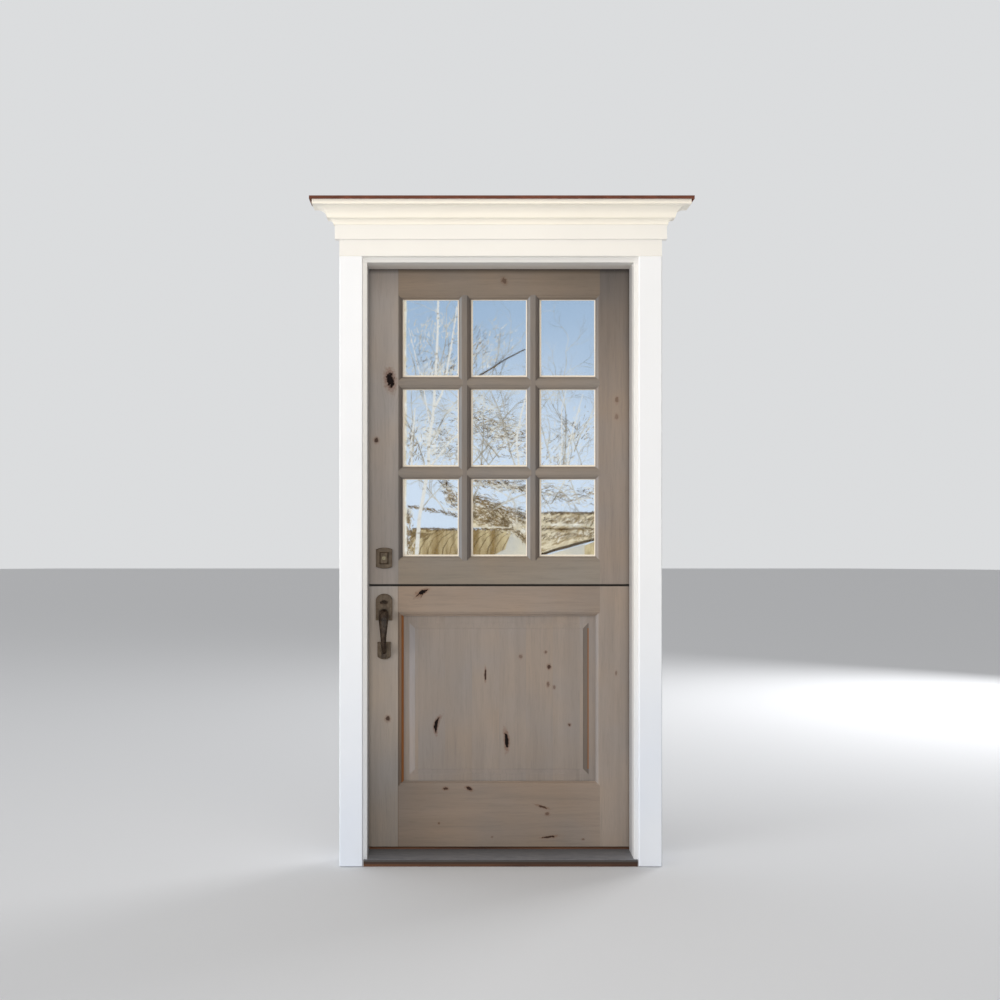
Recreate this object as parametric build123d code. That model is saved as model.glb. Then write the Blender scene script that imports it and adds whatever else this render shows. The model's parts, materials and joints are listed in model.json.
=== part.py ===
from build123d import *
import os
from math import cos, hypot, pi, radians, sin, sqrt

# Stable door in its frame: two leaves hung one above the other, with nine lights over a raised panel.
# Seen from outside, X runs right, Y runs into the house and Z up. The origin lies on the floor at the
# middle of the opening, in the plane of the lining's front edges, which is the wall's outer face.

# Driving dimensions, in millimetres

# Leaves
leaf_width = 914.0
leaf_thick = 44.5
lower_height = 900.0
upper_height = 1097.0
leaf_bottom_z = 37.0
side_gap = 3.0
meeting_gap = 3.0

# Wood members of the leaves, without their moulded edges
stile_flat = 109.5
upper_top_flat = 97.5
upper_bottom_flat = 83.5
lower_top_flat = 91.0
lower_bottom_flat = 209.0

# Moulded edge along each opening
stick_width = 14.5
stick_depth = 15.9
stick_quirk = 2.0
stick_lip_width = 2.5
stick_lip_depth = 4.4
stick_bulge = 2.2

# Lights
light_columns = 3
light_rows = 3
muntin_flat = 14.0
glass_thick = 12.7
glass_clearance = 3.0
bead_clearance = 0.25
bead_chamfer = 5.0

# Raised panel
groove_depth = 12.0
groove_clearance = 0.25
panel_thick = 28.6
panel_expansion = 2.0
panel_margin = 23.0
panel_bevel = 20.0
panel_step = 1.5

# Jambs
jamb_depth = 166.7
jamb_thick = 20.0
lining_depth = 53.0
stop_rise = 12.0
seal_gap = 5.0
edge_ease = 1.5
kerf_width = 3.0
kerf_depth = 9.0
kerf_inset = 2.5
seal_inset = 1.0
seal_width = 9.0
seal_round = 2.0
running_gap = 0.3

# Sill
sill_nose = 14.0
nose_height = 22.0
nose_drop = 12.0
deck_height = 28.0
deck_skin = 2.5
base_nose_inset = 2.5
riser_front_gap = 2.0
riser_channel_depth = 6.0
riser_rear_wall = 5.0
riser_round = 3.0
sweep_height = 2.7
sweep_width = 30.0
sweep_fins = 4
sweep_base = 1.0
sweep_fin_width = 3.0

# Outside trim
trim_thick = 19.0
casing_width = 77.0
casing_reveal = 3.0
casing_foot_gap = 3.0
casing_ease = 2.0
head_casing_reveal = 5.0
head_casing_height = 56.0
frieze_half_width = 555.0
frieze_thick = 29.0
frieze_face_height = 48.0
bed_height = 22.0
bed_reach = 24.0
bed_foot = 4.0
bed_step = 3.0
bed_fillet = 4.0
crown_height = 55.0
crown_reach = 70.0
crown_foot = 3.0
crown_setback = 2.0
crown_fascia = 23.0
crown_soffit = 6.0
cap_overhang = 8.5
cap_sheet = 1.5
cap_drip = 9.5
cap_fall = 6.0
cap_upstand = 14.0

# Hinges
hinge_height = 100.0
hinge_plate = 2.5
hinge_plate_inset = 12.0
hinge_end_distance = 150.0
knuckle_radius = 6.35
knuckle_count = 5
knuckle_gap = 0.3
pin_radius = 3.0
pin_fit = 0.05
pin_head_radius = 5.0
pin_head_height = 3.0
pin_tail = 1.0
pin_stand_off = 7.0

# Locks
lock_backset = 60.0
cross_bore_radius = 21.0
case_radius = 11.5
case_tail = 14.0
bolt_radius = 8.0
bolt_fit = 0.2
bolt_edge = 1.0
faceplate_width = 25.0
faceplate_height = 57.0
faceplate_thick = 2.5
spindle_side = 6.0
spindle_hole_radius = 4.5
spindle_wall = 2.0
spindle_end = 0.5

deadbolt_rise = 92.0
deadbolt_throw = 25.0
deadbolt_tail = 21.0
cylinder_radius = 14.0
plug_radius = 6.5
plug_fit = 0.05
plug_proud = 1.0
collar_wall = 3.5
keyway_width = 1.6
keyway_height = 8.5
keyway_depth = 14.0
rose_width = 55.0
rose_height = 72.0
rose_arch = 6.0
rose_thick = 6.0
rose_edge = 1.5
rose_boss_width = 31.0
rose_boss_height = 43.0
rose_boss_rise = 8.0
rose_boss_bevel = 4.0
inside_rose_radius = 30.0
inside_rose_thick = 8.0
inside_rose_edge = 3.0
turn_hub_radius = 10.0
turn_hub_rise = 6.0
turn_length = 36.0
turn_width = 9.0
turn_waist = 0.6
turn_reach = 24.0

latch_drop = 60.0
latch_throw = 12.0
latch_tail = 37.0
latch_side = 12.7
latch_nose = 2.0
knob_radius = 25.0
knob_hub_rise = 4.0
knob_neck_waist = 8.0
knob_neck_radius = 11.0
knob_neck_length = 18.0
knob_face_radius = 16.0

strike_height = 57.0
strike_width = 32.0
strike_thick = 1.6
pocket_clearance = 2.0
latch_pocket_depth = 15.0
strike_lip_reach = 2.2
strike_lip_margin = 4.0

# Outside grip
grip_plate_width = 57.0
grip_plate_rise = 32.0
grip_plate_height = 91.5
grip_plate_thick = 5.5
grip_plate_arch = 18.0
foot_plate_width = 45.0
grip_spacing = 167.0
foot_plate_height = 60.0
foot_plate_rise = 33.0
foot_plate_arch = 10.0
foot_boss_width = 17.0
foot_boss_height = 46.0
foot_boss_rise = 6.0
thumb_slot_height = 13.0
thumb_bar_width = 10.0
thumb_bar_thick = 5.0
thumb_pad_width = 27.0
thumb_pad_length = 24.0
thumb_pad_thick = 4.5
thumb_pad_stand_off = 2.0
thumb_pad_lap = 6.0
thumb_pad_tilt = 14.0
thumb_tongue = 11.0
thumb_pin_radius = 1.5
thumb_pin_length = 20.0
thumb_pin_fit = 0.05
thumb_rise = 3.0

# Sections of the grip's bow: out from the plate, height, width, thickness and turn in degrees.
# The upper ones are measured from the upper plate's foot, the lower ones from the boss's middle.
grip_upper_sections = (
    (0.0, 26.0, 29.0, 24.0, 0.0),
    (17.0, 25.0, 33.0, 24.0, 22.0),
    (34.0, 10.0, 34.0, 20.0, 58.0),
    (43.0, -20.0, 28.0, 16.0, 82.0),
)
grip_lower_sections = (
    (43.5, 48.0, 20.0, 13.0, 95.0),
    (33.0, 20.0, 17.0, 12.5, 128.0),
    (16.0, 5.0, 17.0, 14.0, 160.0),
    (4.0, 0.0, 17.0, 18.0, 180.0),
)

# Quadrant stay between the leaves, on the inside
quadrant_inset = 167.0
quadrant_pivot_rise = 36.0
quadrant_plate_size = 34.0
quadrant_plate_thick = 2.5
quadrant_arm_length = 62.0
quadrant_arm_thick = 5.0
quadrant_arm_root = 9.0
quadrant_arm_tip = 7.0
quadrant_grip_place = 36.0
quadrant_grip_radius = 6.0
quadrant_grip_rise = 11.0
quadrant_grip_edge = 2.0
quadrant_post_radius = 4.0
quadrant_cap_overhang = 3.0
quadrant_cap_thick = 2.5
keeper_width = 36.0
keeper_height = 34.0
keeper_back = 2.0
keeper_cheek = 3.5
keeper_wall = 6.0
keeper_drop = 9.0
keeper_gap = 1.0
keeper_floor_gap = 1.5

# Wall fixings through the jambs
fixing_end_distance = 290.0
fixing_radius = 2.75

# Places worked out from the dimensions

leaf_half = leaf_width / 2
leaf_face = jamb_depth - leaf_thick
leaf_back = jamb_depth
leaf_middle = leaf_face + leaf_thick / 2
rabbet_x = leaf_half + side_gap
stop_x = rabbet_x - stop_rise
jamb_x = rabbet_x + jamb_thick
stop_depth = leaf_face - seal_gap
lower_top_z = leaf_bottom_z + lower_height
upper_foot_z = lower_top_z + meeting_gap
upper_top_z = upper_foot_z + upper_height
head_z = upper_top_z + side_gap
head_stop_z = head_z - stop_rise
head_top_z = head_z + jamb_thick

opening_half = leaf_half - stile_flat
sight_half = opening_half - stick_width
lights_foot_z = upper_foot_z + upper_bottom_flat
lights_top_z = upper_top_z - upper_top_flat
muntin_width = muntin_flat + 2 * stick_width
pane_width = (2 * sight_half - (light_columns - 1) * muntin_width) / light_columns
pane_height = (lights_top_z - lights_foot_z - 2 * stick_width - (light_rows - 1) * muntin_width) / light_rows
column_pitch = pane_width + muntin_width
row_pitch = pane_height + muntin_width
first_pane_x = -sight_half + pane_width / 2
first_pane_z = lights_foot_z + stick_width + pane_height / 2

panel_foot_z = leaf_bottom_z + lower_bottom_flat
panel_top_z = lower_top_z - lower_top_flat
panel_tongue = leaf_thick - 2 * stick_depth - 2 * groove_clearance

casing_inner_x = rabbet_x + casing_reveal
casing_outer_x = casing_inner_x + casing_width
head_casing_z = head_z + head_casing_reveal
frieze_z = head_casing_z + head_casing_height
bed_z = frieze_z + frieze_face_height
crown_z = bed_z + bed_height
cap_z = crown_z + crown_height

riser_front = leaf_face + riser_front_gap
riser_back = jamb_depth - riser_rear_wall
riser_foot_z = deck_height - riser_channel_depth
riser_top_z = leaf_bottom_z - sweep_height - running_gap

pin_x = (leaf_half + rabbet_x) / 2
pin_y = leaf_back + pin_stand_off
hinge_heights = (
    leaf_bottom_z + hinge_end_distance,
    lower_top_z - hinge_end_distance,
    upper_foot_z + hinge_end_distance,
    upper_top_z - hinge_end_distance,
)

fixing_heights = (
    leaf_bottom_z + fixing_end_distance,
    lower_top_z - fixing_end_distance,
    upper_foot_z + fixing_end_distance,
    upper_top_z - fixing_end_distance,
)

lock_x = -leaf_half + lock_backset
bore_radius = case_radius
channel_radius = bolt_radius + bolt_fit
rose_face = leaf_face - rose_thick
boss_face = rose_face - rose_boss_rise
inside_rose_face = leaf_back + inside_rose_thick
case_front = leaf_middle - case_radius
deadbolt_z = upper_foot_z + deadbolt_rise
latch_z = lower_top_z - latch_drop
collar_radius = plug_radius + collar_wall
grip_plate_top_z = latch_z + grip_plate_rise
grip_plate_foot_z = grip_plate_top_z - grip_plate_height
foot_boss_z = latch_z - grip_spacing
foot_boss_top_z = foot_boss_z + foot_boss_height / 2
foot_boss_foot_z = foot_boss_z - foot_boss_height / 2
foot_plate_top_z = foot_boss_z + foot_plate_rise
foot_plate_foot_z = foot_plate_top_z - foot_plate_height
thumb_pivot_y = leaf_face - grip_plate_thick / 2
thumb_pivot_z = latch_z + thumb_rise
quadrant_x = -leaf_half + quadrant_inset
quadrant_z = upper_foot_z + quadrant_pivot_rise
quadrant_arm_y = leaf_back + quadrant_plate_thick + running_gap
quadrant_arm_back = quadrant_arm_y + quadrant_arm_thick

x_axis = Vector(1, 0, 0)
y_axis = Vector(0, 1, 0)
z_axis = Vector(0, 0, 1)


# Helpers

def block(x, y, z):
    """Box between two ends on each axis."""
    low = [min(pair) for pair in (x, y, z)]
    size = [abs(pair[1] - pair[0]) for pair in (x, y, z)]
    return Pos(*low) * Box(*size, align=(Align.MIN, Align.MIN, Align.MIN))


def rod(radius, start, end):
    """Round bar between two points on a line along one axis."""
    start = Vector(*start)
    run = Vector(*end) - start
    return Solid.make_cylinder(radius, run.length, Plane(origin=start, z_dir=run))


def outline(moves, place):
    """Face inside a closed outline. A move is a point, or (through, end) for an arc."""
    edges = []
    here = moves[0]
    for move in moves[1:]:
        if isinstance(move[0], tuple):
            through, end = move
            edges.append(ThreePointArc(place(*here), place(*through), place(*end)).edge())
        else:
            end = move
            edges.append(Line(place(*here), place(*end)).edge())
        here = end
    if here != moves[0]:
        edges.append(Line(place(*here), place(*moves[0])).edge())
    return Face(Wire(edges))


def bar(moves, place, run):
    """Straight member: an outline moved along a vector."""
    return Solid.extrude(outline(moves, place), run)


def plan_bar(moves, low, high):
    """Upright member from an outline of (x, y) points."""
    return bar(moves, lambda x, y: (x, y, low), z_axis * (high - low))


def side_bar(moves, left, right):
    """Level member along X from an outline of (y, z) points."""
    return bar(moves, lambda y, z: (left, y, z), x_axis * (right - left))


def face_plate(moves, front, back):
    """Plate from an outline of (x, z) points, between two depths."""
    return bar(moves, lambda x, z: (x, front, z), y_axis * (back - front))


def cut(solid, *tools):
    """The solid with each tool taken away."""
    for tool in tools:
        solid = solid - tool
    return solid


def save(name, *solids):
    """Write one node, as one solid or a group of separate ones."""
    pieces = []
    for solid in solids:
        pieces.extend(solid.solids())
    export_step(pieces[0] if len(pieces) == 1 else Compound(children=pieces), f"parts/{name}.step")


# Sections of the wood members, as (u, d): u across the member, d in from the outer face

def stick_moves(flat):
    """Moulded edge of the outer face, from the flat out to the opening, as quirk, round and lip."""
    round_width = stick_width - stick_lip_width
    round_foot = stick_depth - stick_lip_depth
    round_height = round_foot - stick_quirk
    chord = hypot(round_width, round_height)
    through = (
        flat + round_width / 2 + stick_bulge * round_height / chord,
        stick_quirk + round_height / 2 - stick_bulge * round_width / chord,
    )
    return [
        (flat, 0.0),
        (flat, stick_quirk),
        (through, (flat + round_width, round_foot)),
        (flat + stick_width, round_foot),
        (flat + stick_width, stick_depth),
    ]


def walked_back(moves, flip):
    """The same moves from their far end, with each point flipped to the other side."""
    ends = [move[1] if isinstance(move[0], tuple) else move for move in moves]
    back = [flip(*ends[-1])]
    for index in range(len(moves) - 1, 0, -1):
        end = flip(*ends[index - 1])
        if isinstance(moves[index][0], tuple):
            back.append((flip(*moves[index][0]), end))
        else:
            back.append(end)
    return back


def glazed_section(flat):
    """Member beside the lights: moulding outside, open rebate for glass and bead inside."""
    return [(0.0, 0.0)] + stick_moves(flat) + [(flat, stick_depth), (flat, leaf_thick), (0.0, leaf_thick)]


def panelled_section(flat):
    """Member beside the panel: moulding on both faces and a groove between them."""
    front = stick_moves(flat)
    groove_u = flat + stick_width - groove_depth
    groove = [(groove_u, stick_depth), (groove_u, leaf_thick - stick_depth)]
    back = walked_back(front, lambda u, d: (u, leaf_thick - d))
    return [(0.0, 0.0)] + front + groove + back + [(0.0, leaf_thick)]


def muntin_section():
    """Glazing bar: moulding on both sides of a thin web that parts the panes."""
    web = muntin_flat / 2
    right = stick_moves(web)
    left = walked_back(right, lambda u, d: (-u, d))
    return left + right + [(web, stick_depth), (web, leaf_thick), (-web, leaf_thick), (-web, stick_depth)]


def stile(section, side, low, high):
    """Stile on the left (-1) or right (+1) edge of a leaf."""
    return bar(section, lambda u, d: (side * (leaf_half - u), leaf_face + d, low), z_axis * (high - low))


def rail(section, edge_z, direction, stiles):
    """Rail between the stiles, coped over their moulded edges."""
    place = lambda u, d: (-opening_half, leaf_face + d, edge_z + direction * u)
    return cut(bar(section, place, x_axis * (2 * opening_half)), *stiles)


# Frame

def mirrored_points(side, points):
    """Plan points of one side of the frame, from their distances to the middle."""
    return [(side * x, y) for x, y in points]


def lining_section(side):
    """Outer lining in plan, with eased corners at the opening."""
    points = [
        (jamb_x, 0.0),
        (stop_x + edge_ease, 0.0),
        (stop_x, edge_ease),
        (stop_x, lining_depth - edge_ease),
        (stop_x + edge_ease, lining_depth),
        (jamb_x, lining_depth),
    ]
    return mirrored_points(side, points)


def stop_section(side):
    """Stop in plan, with a kerf for the seal in its inner edge."""
    kerf_near = stop_x + kerf_inset
    kerf_far = kerf_near + kerf_width
    points = [
        (rabbet_x, lining_depth),
        (stop_x, lining_depth),
        (stop_x, stop_depth),
        (kerf_near, stop_depth),
        (kerf_near, stop_depth - kerf_depth),
        (kerf_far, stop_depth - kerf_depth),
        (kerf_far, stop_depth),
        (rabbet_x, stop_depth),
    ]
    return mirrored_points(side, points)


def sill_top_at(y):
    """Height of the sloping deck."""
    slope = (deck_height - nose_height) / (leaf_face + sill_nose)
    return nose_height + slope * (y + sill_nose)


def fixing_holes(side):
    """Holes for the screws that hold a jamb to the wall."""
    near = side * (rabbet_x - 1)
    far = side * (jamb_x + 1)
    return [rod(fixing_radius, (near, leaf_middle, z), (far, leaf_middle, z)) for z in fixing_heights]


def sill_room():
    """Space that the sill takes between the jambs' legs."""
    points = [
        (-1.0, -1.0),
        (jamb_depth + 1, -1.0),
        (jamb_depth + 1, deck_height),
        (leaf_face, deck_height),
        (-1.0, sill_top_at(-1.0)),
    ]
    return side_bar(points, -rabbet_x, rabbet_x)


def jamb_leg(side):
    """Board that one edge of the leaves closes into, standing on the floor beside the sill."""
    near = side * rabbet_x
    far = side * jamb_x
    return cut(block((near, far), (lining_depth, jamb_depth), (0.0, head_z)), *fixing_holes(side))


def jamb_head():
    """Board over the leaves, lying on the legs."""
    return block((-jamb_x, jamb_x), (lining_depth, jamb_depth), (head_z, head_top_z))


def stop_leg(side):
    """Stop on a leg of the frame, standing on the sill."""
    return plan_bar(stop_section(side), 0.0, head_z) - sill_room()


def stop_head():
    """Stop under the head, between those of the legs."""
    kerf_z = head_stop_z + kerf_inset
    stop = block((-stop_x, stop_x), (lining_depth, stop_depth), (head_stop_z, head_z))
    kerf_front = stop_depth - kerf_depth
    return stop - block((-stop_x, stop_x), (kerf_front, stop_depth), (kerf_z, kerf_z + kerf_width))


def reveal_lining():
    """Lining from the wall's outer face back to the jambs, with its head lying on its legs."""
    legs = [plan_bar(lining_section(side), 0.0, head_stop_z) - sill_room() for side in (-1, 1)]
    points = [
        (edge_ease, head_stop_z),
        (lining_depth - edge_ease, head_stop_z),
        (lining_depth, head_stop_z + edge_ease),
        (lining_depth, head_top_z),
        (0.0, head_top_z),
        (0.0, head_stop_z + edge_ease),
    ]
    return legs + [side_bar(points, -jamb_x, jamb_x)]


def seal_section():
    """Weather seal: a barb in the kerf and a pad against the leaf, as (distance from the stop's side, y)."""
    root = stop_depth
    face = leaf_face - running_gap
    kerf_far = kerf_inset + kerf_width
    far = seal_inset + seal_width
    return [
        (seal_inset, root),
        (kerf_inset, root),
        (kerf_inset, root - kerf_depth),
        (kerf_far, root - kerf_depth),
        (kerf_far, root),
        (far, root),
        (far, face - seal_round),
        (far - seal_round, face),
        (seal_inset + seal_round, face),
        (seal_inset, face - seal_round),
    ]


def frame_seals():
    """Seals of both legs and the head, the head's running between the others."""
    section = seal_section()
    foot = deck_height
    legs = []
    for side in (-1, 1):
        place = lambda t, y: (side * (stop_x + t), y, foot)
        legs.append(bar(section, place, z_axis * (head_z - foot)))
    place = lambda t, y: (-stop_x, y, head_stop_z + t)
    return legs + [bar(section, place, x_axis * (2 * stop_x))]


def sill_base():
    """Wood base under the deck, sloping with it."""
    front = -sill_nose + base_nose_inset
    points = [
        (front, 0.0),
        (jamb_depth, 0.0),
        (jamb_depth, riser_foot_z - deck_skin),
        (leaf_face, riser_foot_z - deck_skin),
        (front, sill_top_at(front) - riser_channel_depth),
    ]
    return side_bar(points, -rabbet_x, rabbet_x)


def sill_deck():
    """Metal deck: a sloping tread with a drip nose, and a channel that holds the riser."""
    nose = -sill_nose
    inner = nose + base_nose_inset
    points = [
        (nose, nose_height - nose_drop),
        (nose, nose_height),
        (leaf_face, deck_height),
        (riser_front, deck_height),
        (riser_front, riser_foot_z),
        (riser_back, riser_foot_z),
        (riser_back, deck_height),
        (jamb_depth, deck_height),
        (jamb_depth, riser_foot_z - deck_skin),
        (leaf_face, riser_foot_z - deck_skin),
        (inner, sill_top_at(inner) - riser_channel_depth),
        (inner, nose_height - nose_drop),
    ]
    return side_bar(points, -rabbet_x, rabbet_x)


def sill_riser():
    """Wood riser set in the channel, under the leaf's bottom edge."""
    ease = riser_round * (1 - cos(pi / 4))
    points = [
        (riser_front, riser_foot_z),
        (riser_front, riser_top_z - riser_round),
        ((riser_front + ease, riser_top_z - ease), (riser_front + riser_round, riser_top_z)),
        (riser_back - riser_round, riser_top_z),
        ((riser_back - ease, riser_top_z - ease), (riser_back, riser_top_z - riser_round)),
        (riser_back, riser_foot_z),
    ]
    return side_bar(points, -rabbet_x, rabbet_x)


# Outside trim

def casing_leg(side):
    """Flat board beside the opening, with eased front edges."""
    near = casing_inner_x
    far = casing_outer_x
    points = [
        (near, 0.0),
        (near, casing_ease - trim_thick),
        (near + casing_ease, -trim_thick),
        (far - casing_ease, -trim_thick),
        (far, casing_ease - trim_thick),
        (far, 0.0),
    ]
    return plan_bar([(side * x, y) for x, y in points], casing_foot_gap, head_casing_z)


def casing_head():
    """Flat board over the opening, lying on the two legs."""
    points = [
        (0.0, head_casing_z),
        (casing_ease - trim_thick, head_casing_z),
        (-trim_thick, head_casing_z + casing_ease),
        (-trim_thick, frieze_z),
        (0.0, frieze_z),
    ]
    return side_bar(points, -casing_outer_x, casing_outer_x)


def frieze_board():
    """Board over the head casing that carries the mouldings."""
    return block((-frieze_half_width, frieze_half_width), (-frieze_thick, 0.0), (frieze_z, cap_z))


def returned(profile, foot_z):
    """Moulding run round the front and both ends of the frieze, with mitred corners."""
    half = frieze_half_width
    front = -frieze_thick
    path = Polyline((-half, 0, foot_z), (-half, front, foot_z), (half, front, foot_z), (half, 0, foot_z))
    face = outline(profile, lambda out, up: (-half - out, 0.0, foot_z + up))
    return sweep(face, path=path, transition=Transition.RIGHT)


def bed_moulding():
    """Small cove under the crown."""
    top = bed_height
    rise_top = top - bed_fillet
    reach = bed_reach - bed_foot
    through = (bed_foot + reach * (1 - cos(pi / 4)), bed_step + (rise_top - bed_step) * sin(pi / 4))
    profile = [
        (0.0, 0.0),
        (bed_foot, 0.0),
        (bed_foot, bed_step),
        (through, (bed_reach, rise_top)),
        (bed_reach, top),
        (0.0, top),
    ]
    return returned(profile, bed_z)


def crown_moulding():
    """Crown: a cove under a soffit and a plain fascia."""
    start = bed_reach + crown_setback
    cove_end = crown_reach - crown_soffit
    cove_top = crown_height - crown_fascia
    through = (
        start + (cove_end - start) * (1 - cos(pi / 4)),
        crown_foot + (cove_top - crown_foot) * sin(pi / 4),
    )
    profile = [
        (0.0, 0.0),
        (start, 0.0),
        (start, crown_foot),
        (through, (cove_end, cove_top)),
        (crown_reach, cove_top),
        (crown_reach, crown_height),
        (0.0, crown_height),
    ]
    return returned(profile, crown_z)


def drip_cap():
    """Bent sheet over the crown: an upstand at the wall, a falling top, and a drip on three sides."""
    half = frieze_half_width + crown_reach + cap_overhang
    front = -(frieze_thick + crown_reach + cap_overhang)
    drip_foot = cap_z - cap_drip
    front_z = cap_z + cap_sheet
    wall_z = front_z + cap_fall
    top_z = wall_z + cap_upstand
    sheet = side_bar(
        [
            (front, drip_foot),
            (front, front_z),
            (-cap_sheet, wall_z),
            (-cap_sheet, top_z),
            (0.0, top_z),
            (0.0, wall_z - cap_sheet),
            (front + cap_sheet, cap_z),
            (front + cap_sheet, drip_foot),
        ],
        -half,
        half,
    )
    end_points = [(front, drip_foot), (front, front_z), (0.0, wall_z), (0.0, drip_foot)]
    ends = [
        side_bar(end_points, -half, -half + cap_sheet),
        side_bar(end_points, half - cap_sheet, half),
    ]
    return sheet + ends[0] + ends[1]


# Hinges

def knuckle_spans(z):
    """Foot and top of each knuckle, counted up from the hinge's foot."""
    pitch = hinge_height / knuckle_count
    foot = z - hinge_height / 2
    trim = knuckle_gap / 2
    return [(foot + n * pitch + trim, foot + (n + 1) * pitch - trim) for n in range(knuckle_count)]


def hinge_leaf(z, side):
    """One flap of a butt hinge with its knuckles: side -1 is on the door, +1 on the jamb."""
    face_x = leaf_half if side < 0 else rabbet_x
    back_x = face_x + side * hinge_plate
    front_y = leaf_face + hinge_plate_inset
    low = z - hinge_height / 2
    flap = block((face_x, back_x), (front_y, leaf_back), (low, low + hinge_height))
    for index, (foot, top) in enumerate(knuckle_spans(z)):
        if (index % 2 == 0) == (side > 0):
            barrel = rod(knuckle_radius, (pin_x, pin_y, foot), (pin_x, pin_y, top))
            tab = block((face_x, back_x), (leaf_back, pin_y), (foot, top))
            flap = flap + (barrel + tab)
    hole = rod(pin_radius + pin_fit, (pin_x, pin_y, low - 1), (pin_x, pin_y, low + hinge_height + 1))
    return flap - hole


def hinge_pin(z):
    """Loose pin with a flat head, let down through the knuckles."""
    foot = z - hinge_height / 2 - pin_tail
    top = z + hinge_height / 2
    crest = top + pin_head_height
    shank = rod(pin_radius, (pin_x, pin_y, foot), (pin_x, pin_y, crest))
    head = rod(pin_head_radius, (pin_x, pin_y, top), (pin_x, pin_y, crest))
    return shank + head


def hinge_mortise(z, side):
    """Recess for one flap, in the door's edge or in the jamb."""
    face_x = leaf_half if side < 0 else rabbet_x
    low = z - hinge_height / 2
    return block(
        (face_x, face_x + side * hinge_plate),
        (leaf_face + hinge_plate_inset, leaf_back + 1),
        (low, low + hinge_height),
    )


# Tubular locks

def lock_bores(z):
    """Cross bore, edge bore and faceplate recess for a lock in a stile."""
    edge = -leaf_half
    cross = rod(cross_bore_radius, (lock_x, leaf_face - 1, z), (lock_x, leaf_back + 1, z))
    along = rod(bore_radius, (edge - 1, leaf_middle, z), (lock_x, leaf_middle, z))
    half_width = faceplate_width / 2
    half_height = faceplate_height / 2
    recess = block(
        (edge - 1, edge + faceplate_thick),
        (leaf_middle - half_width, leaf_middle + half_width),
        (z - half_height, z + half_height),
    )
    return cross, along, recess


def lock_case(z):
    """Tube that guides a bolt, with its faceplate and a spindle hole."""
    edge = -leaf_half
    tail_x = lock_x + case_tail
    half_width = faceplate_width / 2
    half_height = faceplate_height / 2
    tube = rod(case_radius, (edge + faceplate_thick, leaf_middle, z), (tail_x, leaf_middle, z))
    plate = block(
        (edge, edge + faceplate_thick),
        (leaf_middle - half_width, leaf_middle + half_width),
        (z - half_height, z + half_height),
    )
    channel_end = lock_x - spindle_hole_radius - spindle_wall
    channel = rod(channel_radius, (edge - 1, leaf_middle, z), (channel_end, leaf_middle, z))
    hole = rod(spindle_hole_radius, (lock_x, leaf_face, z), (lock_x, leaf_back, z))
    return cut(tube + plate, channel, hole)


def strike_pocket_radius():
    """Half the width of the hole in a strike and in the jamb behind it."""
    return bolt_radius + pocket_clearance


def strike_cutters(z, depth):
    """Recess for a strike plate and the pocket behind it, in the strike jamb."""
    half = strike_height / 2
    reach = strike_pocket_radius()
    plate = block(
        (-rabbet_x, -rabbet_x - strike_thick),
        (leaf_middle - strike_width / 2, jamb_depth + 1),
        (z - half, z + half),
    )
    pocket = block(
        (-rabbet_x, -rabbet_x - depth),
        (leaf_middle - reach, leaf_middle + reach),
        (z - reach, z + reach),
    )
    return plate, pocket


def strike_plate(z, lip):
    """Plate let into the jamb. A latch's strike has a lip that the bevelled bolt rides over."""
    half = strike_height / 2
    reach = strike_pocket_radius()
    near = leaf_middle - strike_width / 2
    plate = block((-rabbet_x, -rabbet_x - strike_thick), (near, jamb_depth), (z - half, z + half))
    hole = block(
        (-rabbet_x + 1, -rabbet_x - strike_thick - 1),
        (leaf_middle - reach, leaf_middle + reach),
        (z - reach, z + reach),
    )
    if lip > 0:
        lip_half = reach + strike_lip_margin
        points = [
            (-rabbet_x, jamb_depth),
            (-rabbet_x - lip, jamb_depth + lip),
            (-rabbet_x - lip - strike_thick, jamb_depth + lip),
            (-rabbet_x - strike_thick, jamb_depth),
        ]
        plate = plate + plan_bar(points, z - lip_half, z + lip_half)
    return plate - hole


def on_lock(radius, z, front, back):
    """Round bar along Y on a lock's axis."""
    return rod(radius, (lock_x, front, z), (lock_x, back, z))


def spindle(z):
    """Square spindle from the inner face through a lock's case."""
    half = spindle_side / 2
    return block((lock_x - half, lock_x + half), (case_front + spindle_end, leaf_back), (z - half, z + half))


# Deadbolt in the upper leaf

def arched_plate(x, half_width, foot_z, top_z, foot_arch, top_arch):
    """Outline of an upright plate whose ends rise to an arch."""
    left = x - half_width
    right = x + half_width
    moves = [(left, foot_z + foot_arch)]
    if foot_arch > 0:
        moves.append(((x, foot_z), (right, foot_z + foot_arch)))
    else:
        moves.append((right, foot_z))
    moves.append((right, top_z - top_arch))
    moves.append(((x, top_z), (left, top_z - top_arch)))
    return moves


def deadbolt_rose_outside():
    """Cast plate with arched ends and a bevelled boss round the cylinder."""
    foot_z = deadbolt_z - rose_height / 2
    top_z = deadbolt_z + rose_height / 2
    moves = arched_plate(lock_x, rose_width / 2, foot_z, top_z, rose_arch, rose_arch)
    plate = face_plate(moves, rose_face, leaf_face)
    plate = chamfer(plate.faces().sort_by(Axis.Y)[0].edges(), rose_edge)
    foot = Plane((lock_x, rose_face, deadbolt_z), x_dir=(1, 0, 0), z_dir=(0, -1, 0))
    top = foot.offset(rose_boss_rise)
    boss = loft([
        foot * Rectangle(rose_boss_width, rose_boss_height),
        top * Rectangle(rose_boss_width - 2 * rose_boss_bevel, rose_boss_height - 2 * rose_boss_bevel),
    ])
    return cut(plate + boss, on_lock(collar_radius, deadbolt_z, boss_face - 1, leaf_face + 1))


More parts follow.
